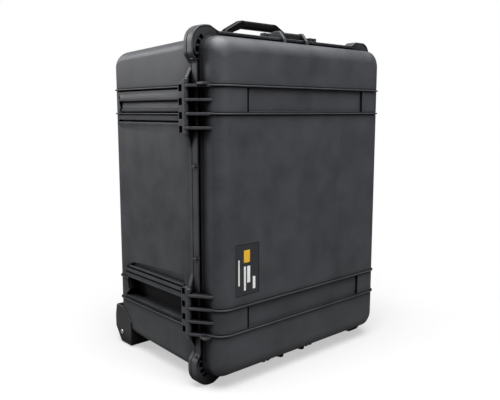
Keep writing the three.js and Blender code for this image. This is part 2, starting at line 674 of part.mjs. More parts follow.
// ---- Foam ----
function foams() {
  const block = baseTray(-BASE_WALL - 3, 6).intersect(box(-202, 202, 6, 257, -280, 280));
  const bay = prism(roundedRect(BAY.halfZ, BAY.halfX, 14), 'y', 0, 6 + BAY.depth, 3);
  const accessoryBays = [
    box(112, 178, 0, 96, 40, 190),
    box(112, 178, 0, 96, -190, 20),
    box(-178, -112, 0, 96, -150, 150),
  ];
  const wheelClear = [-1, 1].map((side) => {
    const [a, b] = side > 0 ? [wheelX[0] - 9, wheelX[1] + 9] : [-wheelX[1] - 9, 9 - wheelX[0]];
    return wheelRod(WHEEL.r + 10, a, b);
  });
  const lidPad = lidTray(-LID_WALL - 2, -50).intersect(box(-205, 205, -70, -6, -275, 275));
  return [
    mesh('base_foam', without(block, [bay, ...accessoryBays, ...wheelClear]), foamBlack),
    mesh('lid_foam', lidPad, foamBlack),
  ];
}

// ---- Assembly ----
const carryCase = new THREE.Group();
carryCase.position.set(0, (LID_DEPTH + RIB_OUT - BACK_Y) / 2, HALF_HEIGHT);
carryCase.add(
  mesh('base_shell', baseShell(), shellPlastic),
  mesh('lid_shell', lidShell(), shellPlastic),
  mesh('lid_gasket', gasket(), seal),
  mesh('name_label', label(), labelInk),
  ...hingePins(),
  ...Object.entries(LATCHES).map(([name, matrix]) => latchMeshes(name, matrix)),
  ...Object.entries(HANDLES).map(([name, handle]) => handleMeshes(name, handle)),
  ...wheelMeshes(),
  ...trolleyMeshes(),
  ...valveMeshes(),
  ...padlockPlates(),
  ...foams(),
);

const root = new THREE.Group();
root.add(carryCase);
export default root;
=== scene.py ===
"""Looks for a wheeled hard telescope case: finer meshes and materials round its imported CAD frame."""

import json
import math

import bmesh
import bpy
from mathutils import Matrix, Vector, noise

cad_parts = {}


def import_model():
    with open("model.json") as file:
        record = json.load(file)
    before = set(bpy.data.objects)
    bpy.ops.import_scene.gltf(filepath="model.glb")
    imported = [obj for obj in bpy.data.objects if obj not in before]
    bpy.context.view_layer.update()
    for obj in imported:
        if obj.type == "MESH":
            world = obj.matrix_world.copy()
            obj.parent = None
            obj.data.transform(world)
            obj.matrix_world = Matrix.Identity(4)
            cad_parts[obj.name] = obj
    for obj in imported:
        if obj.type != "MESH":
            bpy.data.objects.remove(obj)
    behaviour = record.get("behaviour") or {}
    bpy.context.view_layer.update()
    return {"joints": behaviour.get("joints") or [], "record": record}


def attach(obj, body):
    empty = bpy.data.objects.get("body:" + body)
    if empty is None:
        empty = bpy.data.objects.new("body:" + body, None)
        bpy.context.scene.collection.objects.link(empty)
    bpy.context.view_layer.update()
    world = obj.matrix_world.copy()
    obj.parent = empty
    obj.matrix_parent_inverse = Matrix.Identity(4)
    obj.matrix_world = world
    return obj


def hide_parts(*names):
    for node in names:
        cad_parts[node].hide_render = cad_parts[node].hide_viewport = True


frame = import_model()

# ---- The case frame: millimetres from the middle of the parting plane ----
# x runs across the case (hinges at -x), y from the lid (-y) to the back (+y), z along its height.
MM = 0.001
JOINTS = {joint["name"]: joint for joint in frame["joints"]}
HINGE_POINT = Vector(JOINTS["lid_hinge"]["pos_m"])
CASE_ORIGIN = Vector((0, HINGE_POINT.y, HINGE_POINT.z))
TO_ROW = Matrix.Translation(CASE_ORIGIN) @ Matrix.Scale(MM, 4)

# ---- Driving dimensions: the CAD's own, with slightly finer edges on the lid and its lip ----
LID = dict(half_x=222, half_z=297, depth=58, edge_x=25, edge_z=26, corner=24, taper_x=2, taper_z=2)
BASE = dict(half_x=222, half_z=297, depth=280, edge_x=20, edge_z=36, corner=20, taper_x=3, taper_z=10)
LID_WALL = 5
BASE_WALL = 6
GAP = 0.2  # each half stops this far from the parting plane
RIM_X, RIM_Z = 237.5, 306.5
RIM_THICK = 9
LIP_Y = -15  # edge of the raised lip round the lid's channel
LIP_WIDE = 2.5
LIP_CHANNEL_Y = -6.5  # floor of the channel between the lip and the lid's wall
EAR_R = 31
EAR_X = (-207.5, 200)  # middles of the round corner ears
EAR_TIP_Z = 315
RIB_Z = (214.3, 167.9)  # heights of the beads that wrap both halves
HINGE_X = HINGE_POINT.x / MM
KNUCKLE_R = 5.2
FIN_Z = (214.3, 191.1, 167.9, 144.7)  # heights of the lid's hinge knuckles
FIN_THICK = 5
BARREL_Z = (133, 226)
STATION_X = 225  # latches and handles are drawn from here, with their x outward
STATION_Z = 293
LATCH_HALF = 26
LATCH_OUT = 21
HOOK_IN = 14
LEVER_PIN = (11, 22)  # each pin's place as (outward, y)
HOOK_PIN = (15.2, 34)
LEVER_END_Y = 60
SIDE_LATCH_Z = 191.1
GUARD_Z = (26.6, 33.6)
HANDLE_PIN = (12, 88)
HANDLE_REACH = 54.5
HANDLE_HALF = 90
HANDLE_THICK = 16
PIN_R = 2
PIN_HOLE_R = 2.3
WHEEL_X, WHEEL_Y, WHEEL_Z, WHEEL_R, WHEEL_WIDTH = 194, 267, -290, 25, 38
BRACKET_X = (166, 222)
RAIL_X = 105
RAIL_Z = (-250, 222)
CHANNEL_FLOOR_Y = 270
BAR_Y, BAR_Z = 281, 262
NOTCH_X, NOTCH_Y, NOTCH_Z = 134, 266.5, 226
VALVE_Y, VALVE_Z, VALVE_HOLE_R = 178, -70, 8.4
PADLOCK_X, PADLOCK_Z, PADLOCK_R = RIM_X - 7.5, 128, 3.5
LABEL_X = (-184, -128)
LABEL_Z = (-149, -57)
LABEL_SINK = 1.6
LABEL_GAP = 0.8  # between the badge and the sides of its recess


# ---- Mesh tools ----
def mesh_from(points, faces):
    """A mesh with merged points and its faces pointing out."""
    mesh = bpy.data.meshes.new("solid")
    mesh.from_pydata([tuple(p) for p in points], [], faces)
    tidy = bmesh.new()
    tidy.from_mesh(mesh)
    bmesh.ops.remove_doubles(tidy, verts=tidy.verts, dist=1e-4)
    bmesh.ops.recalc_face_normals(tidy, faces=tidy.faces)
    tidy.to_mesh(mesh)
    tidy.free()
    return mesh


def loft(rings, closed=False):
    """Joins rings of equally many points. An open loft is capped; a closed one runs back to its start."""
    count = len(rings[0])
    faces = []
    for i in range(len(rings) if closed else len(rings) - 1):
        j = (i + 1) % len(rings)
        for k in range(count):
            m = (k + 1) % count
            faces.append((i * count + k, i * count + m, j * count + m, j * count + k))
    if not closed:
        last = (len(rings) - 1) * count
        faces.append(tuple(range(count))[::-1])
        faces.append(tuple(last + k for k in range(count)))
    return mesh_from([point for ring in rings for point in ring], faces)


def rounded(corners, steps=5):
    """A closed outline from corners (a, b) or (a, b, radius)."""
    outline = []
    for i, corner in enumerate(corners):
        here = Vector(corner[:2])
        back = (Vector(corners[i - 1][:2]) - here).normalized()
        ahead = (Vector(corners[(i + 1) % len(corners)][:2]) - here).normalized()
        radius = corner[2] if len(corner) > 2 else 0
        half = back.angle(ahead) / 2
        if radius <= 0 or half > math.pi / 2 - 0.01:
            outline.append(here)
            continue
        centre = here + (back + ahead).normalized() * (radius / math.sin(half))
        start = here + back * (radius / math.tan(half)) - centre
        end = here + ahead * (radius / math.tan(half)) - centre
        turn = start.angle_signed(end)
        first = math.atan2(start.y, start.x)
        for step in range(steps + 1):
            angle = first - turn * step / steps
            outline.append(centre + radius * Vector((math.cos(angle), math.sin(angle))))
    area = sum(outline[i - 1].x * p.y - outline[i - 1].y * p.x for i, p in enumerate(outline))
    return outline if area > 0 else outline[::-1]


def inset(outline, amount):
    """An outline drawn in by an amount on every side."""
    drawn = []
    for i, point in enumerate(outline):
        before = (point - outline[i - 1]).normalized()
        after = (outline[(i + 1) % len(outline)] - point).normalized()
        side_a = Vector((-before.y, before.x))
        side_b = Vector((-after.y, after.x))
        drawn.append(point + (side_a + side_b) * (amount / (1 + side_a.dot(side_b))))
    return drawn


PLACES = {
    "x": lambda a, b, along: (along, a, b),
    "y": lambda a, b, along: (a, along, b),
    "z": lambda a, b, along: (a, b, along),
}


def prism(outline, axis, low, high, edge=0.0, steps=3):
    """An outline in (y, z), (x, z) or (x, y), extruded along its axis. edge rounds the rims of both ends."""
    place = PLACES[axis]
    levels = [(low, 0), (high, 0)]
    if edge > 0:
        angles = [math.pi / 2 * i / steps for i in range(steps + 1)]
        near = [(low + edge * (1 - math.sin(a)), edge * (1 - math.cos(a))) for a in angles[::-1]]
        levels = near + [(low + high - level, amount) for level, amount in near[::-1]]
        levels = sorted(set(levels))
    return loft([[place(p.x, p.y, level) for p in inset(outline, amount)] for level, amount in levels])


def about(middle, half):
    """The span from half below a middle to half above it."""
    return middle - half, middle + half


def block(x, y, z, edge=0.8):
    """A box between two values of x, y and z, with its edges rounded."""
    corners = [(x[0], y[0], edge), (x[1], y[0], edge), (x[1], y[1], edge), (x[0], y[1], edge)]
    return prism(rounded(corners, 3), "z", z[0], z[1], edge)


def lathe(profile, axis, centre, sides=40, closed=False):
    """Turns a profile of (along, radius) about an axis through the centre point."""
    place = PLACES[axis]
    spin = [2 * math.pi * i / sides for i in range(sides)]
    middle = Vector(centre)
    rings = []
    for along, radius in profile:
        ring = [Vector(place(radius * math.cos(a), radius * math.sin(a), along)) + middle for a in spin]
        rings.append(ring)
    return loft(rings, closed)


def rod(axis, radius, centre, low, high, edge=0.3, sides=32):
    """A cylinder with bevelled ends, from low to high along an axis through the centre point."""
    profile = [(low, radius - edge), (low + edge, radius), (high - edge, radius), (high, radius - edge)]
    return lathe(profile, axis, centre, sides)


def in_scene(name, data):
    """A new object of the scene."""
    made = bpy.data.objects.new(name, data)
    bpy.context.scene.collection.objects.link(made)
    return made


def applied(target, *helpers):
    """The mesh that an object's modifiers make of it. The object and its helpers then go."""
    graph = bpy.context.evaluated_depsgraph_get()
    result = bpy.data.meshes.new_from_object(target.evaluated_get(graph))
    for thing in (target, *helpers):
        bpy.data.objects.remove(thing)
    return result


def boolean(base, tools, operation):
    """Joins closed meshes to a base mesh, or cuts it with them."""
    target = in_scene("target", base)
    helpers = [in_scene("tool", tool) for tool in tools]
    for helper in helpers:
        modifier = target.modifiers.new("boolean", "BOOLEAN")
        modifier.operation = operation
        modifier.solver = "MANIFOLD"
        modifier.object = helper
    return applied(target, *helpers)


def fuse(first, *others):
    return boolean(first, others, "UNION")


def cut(first, *others):
    return boolean(first, others, "DIFFERENCE")


def clip(first, *others):
    return boolean(first, others, "INTERSECT")


def moved(mesh, matrix):
    """A moved copy. A mirrored one keeps its faces pointing out."""
    copy = mesh.copy()
    copy.transform(matrix)
    if matrix.determinant() < 0:
        copy.flip_normals()
    return copy


MIRROR_X = Matrix.Scale(-1, 4, (1, 0, 0))
MIRROR_Y = Matrix.Scale(-1, 4, (0, 1, 0))
MIRROR_Z = Matrix.Scale(-1, 4, (0, 0, 1))


def both_z(mesh):
    """A mesh and its mirror image below mid height."""
    return [mesh, moved(mesh, MIRROR_Z)]


def both_x(mesh):
    """A mesh and its mirror image on the case's other side."""
    return [mesh, moved(mesh, MIRROR_X)]


SHARP_ANGLE = math.radians(32)
BODY_OF = {name: body for body, names in frame["record"]["behaviour"]["bodies"].items() for name in names}


def show(cad_node, mesh, material, part=""):
    """Finishes a mesh of the case frame as the visible piece of a CAD node, or as one more part of it."""
    shape = moved(mesh, TO_ROW)
    name = f"{cad_node}_finish{part}"
    shape.name = name
    shape.polygons.foreach_set("use_smooth", [True] * len(shape.polygons))
    shape.set_sharp_from_angle(angle=SHARP_ANGLE)
    shape.materials.clear()
    shape.materials.append(material)
    made = in_scene(name, shape)
    weighted = made.modifiers.new("weighted_normals", "WEIGHTED_NORMAL")
    weighted.keep_sharp = True
    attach(made, BODY_OF[cad_node])
    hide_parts(cad_node)
    return made


# ---- Materials ----
def plug(tree, socket, value):
    """Sets a node's input to a value, or links it to another node's socket."""
    if isinstance(value, bpy.types.NodeSocket):
        tree.links.new(value, socket)
    else:
        socket.default_value = value


def feed(tree, target, **inputs):
    """Plugs a node's inputs by name. An underscore stands for a space."""
    for name, value in inputs.items():
        plug(tree, target.inputs[name.replace("_", " ")], value)
    return target


def node(tree, kind, **inputs):
    return feed(tree, tree.nodes.new("ShaderNode" + kind), **inputs)


def node_tree(name, slot=""):
    """A new material with one Principled shader, and the record's slot that its pieces take."""
    material = bpy.data.materials.new(name)
    material["slot"] = slot or name
    material.use_nodes = True
    tree = material.node_tree
    tree.nodes.clear()
    shader = node(tree, "BsdfPrincipled")
    node(tree, "OutputMaterial", Surface=shader.outputs[0])
    return material, tree, shader


def texture(tree, kind, scale, stretch=(1, 1, 1), **settings):
    """The value of a procedural texture on the piece's own coordinates."""
    where = node(tree, "TexCoord").outputs["Object"]
    place = node(tree, "Mapping", Scale=stretch, Vector=where).outputs["Vector"]
    return node(tree, kind, Scale=scale, Vector=place, **settings).outputs[0]


def remap(tree, value, low, high, start=0.0, end=1.0):
    """A value's range from start to end, moved to low to high."""
    made = node(tree, "MapRange", Value=value, From_Min=start, From_Max=end, To_Min=low, To_Max=high)
    return made.outputs["Result"]


def tint(tree, factor, dark, light):
    """A blend of two colours, each a tuple or a socket."""
    mix = node(tree, "Mix")
    mix.data_type = "RGBA"
    a, b = [(*colour, 1) if isinstance(colour, tuple) else colour for colour in (dark, light)]
    return feed(tree, mix, Factor=factor, A=a, B=b).outputs["Result"]


def maths(tree, operation, *values):
    made = node(tree, "Math")
    made.operation = operation
    for socket, value in zip(made.inputs, values):
        plug(tree, socket, value)
    return made.outputs[0]


def total(tree, *values):
    """The sum of (socket, weight) pairs."""
    running = 0
    for socket, weight in values:
        running = maths(tree, "MULTIPLY_ADD", socket, weight, running)
    return running


def relief(tree, shader, height, distance, soften):
    """Bump from a height value, over edges softened by a small radius in metres."""
    edge = node(tree, "Bevel", Radius=soften)
    edge.samples = 4
    bump = node(tree, "Bump", Height=height, Distance=distance, Strength=1, Normal=edge.outputs["Normal"])
    feed(tree, shader, Normal=bump.outputs["Normal"])


# Painted shade: these set how ambient occlusion darkens colour and sheen in grooves and gaps, where shade
# falls.
GAP_REACH = 0.04  # metres over which neighbouring surfaces count as closing a gap
GAP_SHADE = 2.3  # how steeply the colour falls off in a gap
PAINTED_GAP_SHADE_COLOUR = (0.002, 0.002, 0.0022)
PAINTED_GAP_SHEEN = 0.02


def painted_gap_shade(tree, shader, colour, sheen):
    """Painted shade: colour and sheen fall off in grooves and gaps, darkened by ambient occlusion where
    shade falls.
    """
    gap = node(tree, "AmbientOcclusion", Distance=GAP_REACH)
    gap.samples = 6
    openness = maths(tree, "POWER", gap.outputs["AO"], GAP_SHADE)
    feed(
        tree, shader,
        Base_Color=tint(tree, openness, PAINTED_GAP_SHADE_COLOUR, colour),
        Specular_IOR_Level=remap(tree, openness, PAINTED_GAP_SHEEN, sheen),
    )


SCUFF_LIGHT = 2.1  # a scuff's brightness, over the plastic's light shade
SCUFF_SHARE = 0.28  # how much of a scuff's colour shows


def moulded_plastic(name, dark, light, rough, grain, depth, soften, slot="", sheen=0.4):
    """Moulded plastic: fine pebble grain, cloudy shade and gloss, and faint rubbed streaks and scuffs.

    grain is in pebbles a metre. depth, of the grain, and soften, of the edges, are in metres.
    """
    material, tree, shader = node_tree(name, slot)
    cloud = texture(tree, "TexNoise", 19, Detail=5, Roughness=0.62)
    speck = texture(tree, "TexNoise", grain * 0.6, Detail=2)
    pebble = texture(tree, "TexVoronoi", grain)
    streak = texture(tree, "TexNoise", 26, Detail=5, stretch=(1, 1, 0.3))
    scuff = texture(tree, "TexNoise", 34, Detail=8, Roughness=0.75, Distortion=1.2)
    shade = total(tree, (cloud, 0.7), (speck, 0.15), (streak, 0.15))
    colour = tint(tree, remap(tree, shade, 0, 1, 0.3, 0.7), dark, light)
    rubbed = tuple(SCUFF_LIGHT * c for c in light)
    colour = tint(tree, remap(tree, scuff, 0, SCUFF_SHARE, 0.6, 0.75), colour, rubbed)
    # Painted shade in grooves and gaps, laid over the plastic's own colour.
    painted_gap_shade(tree, shader, colour, sheen)
    gloss = total(tree, (cloud, 0.5), (streak, 0.5))
    feed(tree, shader, Roughness=remap(tree, gloss, *rough, 0.35, 0.65))
    relief(tree, shader, total(tree, (pebble, 0.7), (speck, 0.6)), depth, soften)
    return material


SHELL = moulded_plastic(
    "shell_plastic", dark=(0.024, 0.025, 0.029), light=(0.050, 0.052, 0.058), rough=(0.46, 0.6),
    grain=1100, depth=0.00012, soften=0.0009)
HARD = moulded_plastic(
    "hard_plastic", dark=(0.011, 0.0115, 0.012), light=(0.021, 0.022, 0.023), rough=(0.36, 0.5),
    grain=1500, depth=0.00005, soften=0.0006)
HANDLE = moulded_plastic(
    "handle_plastic", dark=(0.002, 0.002, 0.002), light=(0.005, 0.005, 0.005), rough=(0.26, 0.34),
    grain=1500, depth=0.00004, soften=0.0006, slot="hard_plastic", sheen=0.12)
GRIP = moulded_plastic(
    "grip_rubber", dark=(0.0025, 0.0025, 0.0026), light=(0.005, 0.005, 0.005), rough=(0.4, 0.5),
    grain=1900, depth=0.0001, soften=0.0006, sheen=0.1)
SEAL = moulded_plastic(
    "seal_rubber", dark=(0.012, 0.012, 0.012), light=(0.02, 0.02, 0.02), rough=(0.7, 0.8),
    grain=2500, depth=0.00003, soften=0.0004)
TYRE = moulded_plastic(
    "tyre_rubber", dark=(0.012, 0.012, 0.012), light=(0.025, 0.024, 0.023), rough=(0.5, 0.75),
    grain=1300, depth=0.00008, soften=0.0006)


def brushed_steel():
    material, tree, shader = node_tree("steel")
    brush = texture(tree, "TexNoise", 60, Detail=6, stretch=(1, 14, 14))
    colour = tint(tree, brush, (0.42, 0.42, 0.41), (0.66, 0.66, 0.64))
    feed(tree, shader, Base_Color=colour, Roughness=remap(tree, brush, 0.22, 0.42), Metallic=1)
    relief(tree, shader, brush, 0.00002, 0.0003)
    return material


def open_cell_foam():
    material, tree, shader = node_tree("foam")
    cells = texture(tree, "TexVoronoi", 520)
    lumps = texture(tree, "TexNoise", 45, Detail=5)
    mottle = total(tree, (cells, 0.55), (lumps, 0.45))
    colour = tint(tree, mottle, (0.008, 0.0085, 0.010), (0.062, 0.063, 0.068))
    feed(tree, shader, Base_Color=colour, Roughness=0.95, Specular_IOR_Level=0.15, Sheen_Weight=0.15)
    relief(tree, shader, total(tree, (cells, 1.0), (lumps, 0.8)), 0.0011, 0.0015)
    return material


def printed(name, colour, rough):
    """Ink or film on the badge, a little worn."""
    material, tree, shader = node_tree(name, "label")
    wear = texture(tree, "TexNoise", 300, Detail=6)
    faded = tuple(0.72 * c for c in colour)
    worn = tint(tree, remap(tree, wear, 0, 1, 0.2, 0.5), faded, colour)
    feed(tree, shader, Base_Color=worn, Roughness=remap(tree, wear, rough - 0.08, rough + 0.12))
    relief(tree, shader, wear, 0.00003, 0.0002)
    return material


STEEL = brushed_steel()
FOAM = open_cell_foam()
LABEL_BLACK = printed("label_black", (0.017, 0.018, 0.021), 0.55)
LABEL_WHITE = printed("label_white", (0.78, 0.78, 0.77), 0.45)
LABEL_AMBER = printed("label_amber", (0.75, 0.42, 0.03), 0.4)


# ---- Shells ----
ARC_STEPS = 9  # sections in the round edge of a half's closed end


def rounded_box(half_a, half_b, corner, steps=6):
    signs = ((1, 1), (-1, 1), (-1, -1), (1, -1))
    return rounded([(a * half_a, b * half_b, corner) for a, b in signs], steps)


def arc_inset(radius, past):
    """How far a round edge has drawn in at a distance past its start."""
    return radius - math.sqrt(max(radius**2 - past**2, 0)) if past > 0 else 0


def tray_levels(size, grow, start):
    """(y, inset in x, inset in z) of a tray's sections, from its open end to its closed one."""
    edge_x, edge_z, depth = size["edge_x"] + grow, size["edge_z"] + grow, size["depth"] + grow
    reach = max(edge_x, edge_z)
    arc = [depth - reach * (1 - math.sin(math.pi / 2 * i / ARC_STEPS)) for i in range(ARC_STEPS + 1)]
    made = []
    for y in [start, *arc]:
        share = max(y, 0) / size["depth"]
        inset_x = share * size["taper_x"] + arc_inset(edge_x, y - depth + edge_x)
        inset_z = share * size["taper_z"] + arc_inset(edge_z, y - depth + edge_z)
        made.append((y, inset_x, inset_z))
    return made


def tray(size, grow=0.0, start=GAP):
    """A rounded rectangle whose walls draw in with depth and round over into the closed end."""
    half_x, half_z = size["half_x"] + grow, size["half_z"] + grow
    rings = []
    for y, inset_x, inset_z in tray_levels(size, grow, start):
        x, z = half_x - inset_x, half_z - inset_z
        corner = max(size["corner"] + grow, 4) * min(x / half_x, z / half_z)
        rings.append([(p.x, y, p.y) for p in rounded_box(x, z, corner)])
    return loft(rings)


def lid_tray(grow=0.0, start=GAP):
    return moved(tray(LID, grow, start), MIRROR_Y)


# Half profiles as (along the wall, out from it)
RIB_PROFILE = [(1.8, -2), (1.8, 0.2), (1.5, 1.2), (1.3, 2.3), (0.8, 2.9), (0, 3.05)]
RIB_GROOVE = [(2.7, -0.9), (2.7, 3), (0, 3)]


def rib(size, z, start, half_profile):
    """A bead, or a groove's air, that wraps a tray's walls and closed end at one height."""
    half = [(size["half_x"] - inset_x, y) for y, inset_x, _ in tray_levels(size, 0, start)]
    path = [Vector(p) for p in half] + [Vector((-x, y)) for x, y in half[::-1]]
    profile = half_profile + [(-w, h) for w, h in half_profile[-2::-1]]
    rings = []
    for i, point in enumerate(path):
        along = (path[min(i + 1, len(path) - 1)] - path[max(i - 1, 0)]).normalized()
        out = Vector((along.y, -along.x))
        rings.append([(point.x + out.x * h, point.y + out.y * h, z + w) for w, h in profile])
    return loft(rings)


def ribbed(body, size, start, flip=None):
    """A body with its four beads, each between two fine grooves."""
    for profile, join in ((RIB_GROOVE, cut), (RIB_PROFILE, fuse)):
        beads = [rib(size, side * z, start, profile) for z in RIB_Z for side in (-1, 1)]
        body = join(body, *[moved(bead, flip) for bead in beads] if flip else beads)
    return body


# The rim's upper half in (x, z, corner radius), from the latch side round to the hinge side
EAR_OUTLINE = [
    (RIM_X, 277, 34),
    (224, EAR_TIP_Z, 22),
    (186, EAR_TIP_Z, 8),
    (172, RIM_Z, 12),
    (-182, RIM_Z, 12),
    (-200, EAR_TIP_Z, 8),
    (-239, EAR_TIP_Z, 30),
    (-239, 266, 12),
    (-229.5, 253, 9),
]
# The base's rim widens beside each hinge, and the lid's stays narrow
HINGE_PLATE = [(-229.5, 243, 8), (-RIM_X, 229, 8), (-RIM_X, 134, 8), (-230.5, 110, 12)]
HINGE_SIDE = [(-230.5, 92, 20)]


def rim_outline(hinge_side):
    """The rim seen along y, in (x, z): its corners swell into round ears with flat tips."""
    upper = EAR_OUTLINE + hinge_side
    return rounded(upper + [(x, -z, r) for x, z, r in upper[::-1]], 7)


# ---- Stations: places round the rim, with x outward, y as the case and z along the rim ----
def station(x, z, turn):
    return Matrix.Translation((x, 0, z)) @ Matrix.Rotation(math.radians(turn), 4, "Y")


TOP = station(0, STATION_Z, -90)
WHEEL_END = station(0, -STATION_Z, 90)
LATCHES = {
    "side_upper": station(STATION_X, SIDE_LATCH_Z, 0),
    "side_lower": station(STATION_X, -SIDE_LATCH_Z, 0),
    "top": TOP,
    "wheel_end": WHEEL_END,
}
HANDLES = {"top": TOP, "side": station(STATION_X, 0, 0), "wheel_end": WHEEL_END}
FOLDED = ("side", "wheel_end")


def pin_bore(pin, half):
    return rod("z", PIN_HOLE_R, (*pin, 0), -half, half, 0)


GUARD_FOOT = 4
GUARD_FRONT = 12
WHEEL_END_GUARD_FRONT = 19
TOP_GUARD_PEAK = 27


def latch_guard_wall(peak, front):
    """A wall beside a latch, seen along the rim: slanted front, flat peak and a long slope to the back."""
    return rounded([
        (-GUARD_FOOT, -25), (front, -21, 3), (peak, -9, 4), (peak, 7, 8), (LATCH_OUT, 24, 10), (-6, 44, 2),
    ], 4)


def latch_guards(y0, y1):
    """The share of the latch guards between two depths; the base's share carries the lever pin."""
    share = block((-50, 50), (y0, y1), (-60, 60), 0.2)
    guards = []
    for name, place in LATCHES.items():
        peak = TOP_GUARD_PEAK if name == "top" else LATCH_OUT
        front = WHEEL_END_GUARD_FRONT if name == "wheel_end" else GUARD_FRONT
        outline = latch_guard_wall(peak, front)
        for wall in both_z(prism(outline, "z", *GUARD_Z, 1.4)):
            guards.append(moved(clip(wall, share), place))
    return guards


# ---- Lid shell ----
BUMP_X = (-72, -61, 50, 61)  # small nubs on the lip, beside the top and wheel-end latches
SEAL_OUT, SEAL_IN, SEAL_DEPTH = 5.6, -0.6, 4.4  # the gasket's groove, about the lid's outline
RIM_POCKET_X = (-235, -226)


def hinge_rod(radius, low, high):
    return rod("z", radius, (HINGE_X, 0, 0), low, high, 0, 28)


def hinge_bores(radius):
    """Round air along the whole of both hinges."""
    return both_z(hinge_rod(radius, BARREL_Z[0] - 1, BARREL_Z[1] + 1))


def hinge_fin(z):
    """A lid knuckle: a round eye on a blade that runs out on the lid's wall."""
    blade = rounded([
        (HINGE_X - 4.6, -1, 0),
        (HINGE_X - 3.4, -9, 4),
        (-BASE["half_x"] - 2.2, -39, 5),
        (-BASE["half_x"] + 4, -42),
        (-BASE["half_x"] + 4, -4),
        (HINGE_X, -3),
    ])
    span = about(z, FIN_THICK / 2)
    return fuse(prism(blade, "z", *span, 0.8), rod("z", KNUCKLE_R, (HINGE_X, 0, 0), *span, 0.8, 28))


def ring_at(out, y0, y1):
    """The lid's outline, grown by out, between two depths."""
    half_x, half_z = LID["half_x"] + out, LID["half_z"] - 1 + out
    return prism(rounded_box(half_x, half_z, LID["corner"] + out), "y", y0, y1)


def channel_gussets():
    """Thin walls across the channel between the lid and its lip."""
    low, high = LIP_Y + 1.5, LIP_CHANNEL_Y + 1
    walls = []
    for z in (258, 80):
        for x0, x1 in ((-236, -218), (218, 236)):
            walls += both_z(block((x0, x1), (low, high), about(z, 1.2), 0.6))
    for x in (-120, 120):
        walls += both_z(block(about(x, 1), (low, high), (290, 305), 0.5))
    return walls + both_z(block((-184, 178), (LIP_Y, high), (301, 305), 0.8))


EAR_CHANNEL_R = (25, 33.5)  # the channel's round stretch, about the centre of the lid's corner
EAR_CHANNEL_SWEEP = (-40, 52)  # degrees round the corner
EAR_GUSSETS = (-12, 14, 36)


def sector(inner, outer, first, last, steps=10):
    """A ring sector in (x, z) about the origin, between two angles in degrees."""
    angles = [math.radians(first + (last - first) * i / steps) for i in range(steps + 1)]
    rim = [Vector((outer * math.cos(a), outer * math.sin(a))) for a in angles]
    return rim + [Vector((inner * math.cos(a), inner * math.sin(a))) for a in angles[::-1]]


def ear_webs():
    """Fills each ear flush with its lip, apart from the end of the channel, which small walls cross."""
    centre = Vector((LID["half_x"] - LID["corner"], 0, LID["half_z"] - LID["corner"]))
    round_stretch = sector(*EAR_CHANNEL_R, *EAR_CHANNEL_SWEEP)
    channel = prism(round_stretch, "y", LIP_Y - 3, LIP_CHANNEL_Y - 0.5)
    gusset = block((20, 42), (LIP_Y + 1, 0), (-1.8, 1.8), 0.5)
    walls = [moved(gusset, Matrix.Rotation(math.radians(-angle), 4, "Y")) for angle in EAR_GUSSETS]
    channel = moved(cut(channel, *walls), Matrix.Translation(centre))
    webs = []
    for ear_x in EAR_X:
        x = abs(ear_x)
        disc = rod("y", EAR_R - 1.5, (x, 0, EAR_TIP_Z - EAR_R), LIP_Y + 0.5, LIP_CHANNEL_Y + 1, 0.4, 48)
        web = cut(disc, block((x - 40, x + 50), (-30, 0), (200, 262), 0.5), channel)
        webs += both_z(web if ear_x > 0 else moved(web, MIRROR_X))
    return webs


def padlock_holes():
    return [rod("y", PADLOCK_R, (PADLOCK_X, 0, z), -30, 30, 0) for z in (PADLOCK_Z, -PADLOCK_Z)]


def lid_flange():
    outline = rim_outline(HINGE_SIDE)
    flange = prism(outline, "y", LIP_Y, -GAP, 1.4)
    channel = prism(inset(outline, LIP_WIDE), "y", LIP_Y - 5, LIP_CHANNEL_Y)
    bumps = [
        bump
        for x in BUMP_X
        for bump in both_z(block(about(x, 4), (LIP_Y + 1, -2), (303, 313), 1.8))
    ]
    return fuse(cut(flange, channel), *channel_gussets(), *ear_webs(), *bumps)


PANEL_HALF = 152
PANEL_SINK = 2.2
END_GROOVE = (PANEL_HALF - 1.4, PANEL_HALF + 4.6)  # each panel ends in a deeper groove
END_GROOVE_SINK = 4.4
ROOT_OUT, ROOT_Y = 2.2, -19  # the lid's wall is a little thicker along its foot


def lid_shell():
    root = clip(lid_tray(ROOT_OUT), block((-300, 300), (ROOT_Y, -2), (-400, 400), 0.9))
    outer = ribbed(fuse(lid_tray(), root), LID, 22, MIRROR_Y)
    bosses = [
        block((LID["half_x"] - 1, RIM_X - 0.4), (LIP_Y, LIP_CHANNEL_Y + 1), about(z, 15), 1)
        for z in (PADLOCK_Z, -PADLOCK_Z)
    ]
    outer = fuse(outer, lid_flange(), *bosses, *latch_guards(-30, -GAP))
    panel = (RIB_Z[1] + 3.4, RIB_Z[0] - 3.4)
    panels = both_z(block((-PANEL_HALF, PANEL_HALF), (-80, PANEL_SINK - LID["depth"]), panel, 1.2))
    end_groove = block(END_GROOVE, (-80, END_GROOVE_SINK - LID["depth"]), panel, 0.3)
    for groove in both_x(end_groove):
        panels += both_z(groove)
    seat = block(LABEL_X, (-80, LABEL_SINK - LID["depth"]), LABEL_Z, 1.2)
    outer = cut(outer, seat, *panels, *hinge_bores(KNUCKLE_R + 0.9), *padlock_holes())
    fins = [fin for z in FIN_Z for fin in both_z(hinge_fin(z))]
    fins += both_z(block((-236, -212), (-38, -22), (FIN_Z[0] + 1, FIN_Z[0] + 5.6), 1))
    groove = cut(ring_at(SEAL_OUT, -SEAL_DEPTH, 1), ring_at(SEAL_IN, -9, 2))
    return cut(fuse(outer, *fins), lid_tray(-LID_WALL, -50), groove, *hinge_bores(PIN_HOLE_R))


def gasket():
    return cut(ring_at(SEAL_OUT - 0.3, 0.4 - SEAL_DEPTH, -0.4), ring_at(SEAL_IN + 0.3, -9, 2))


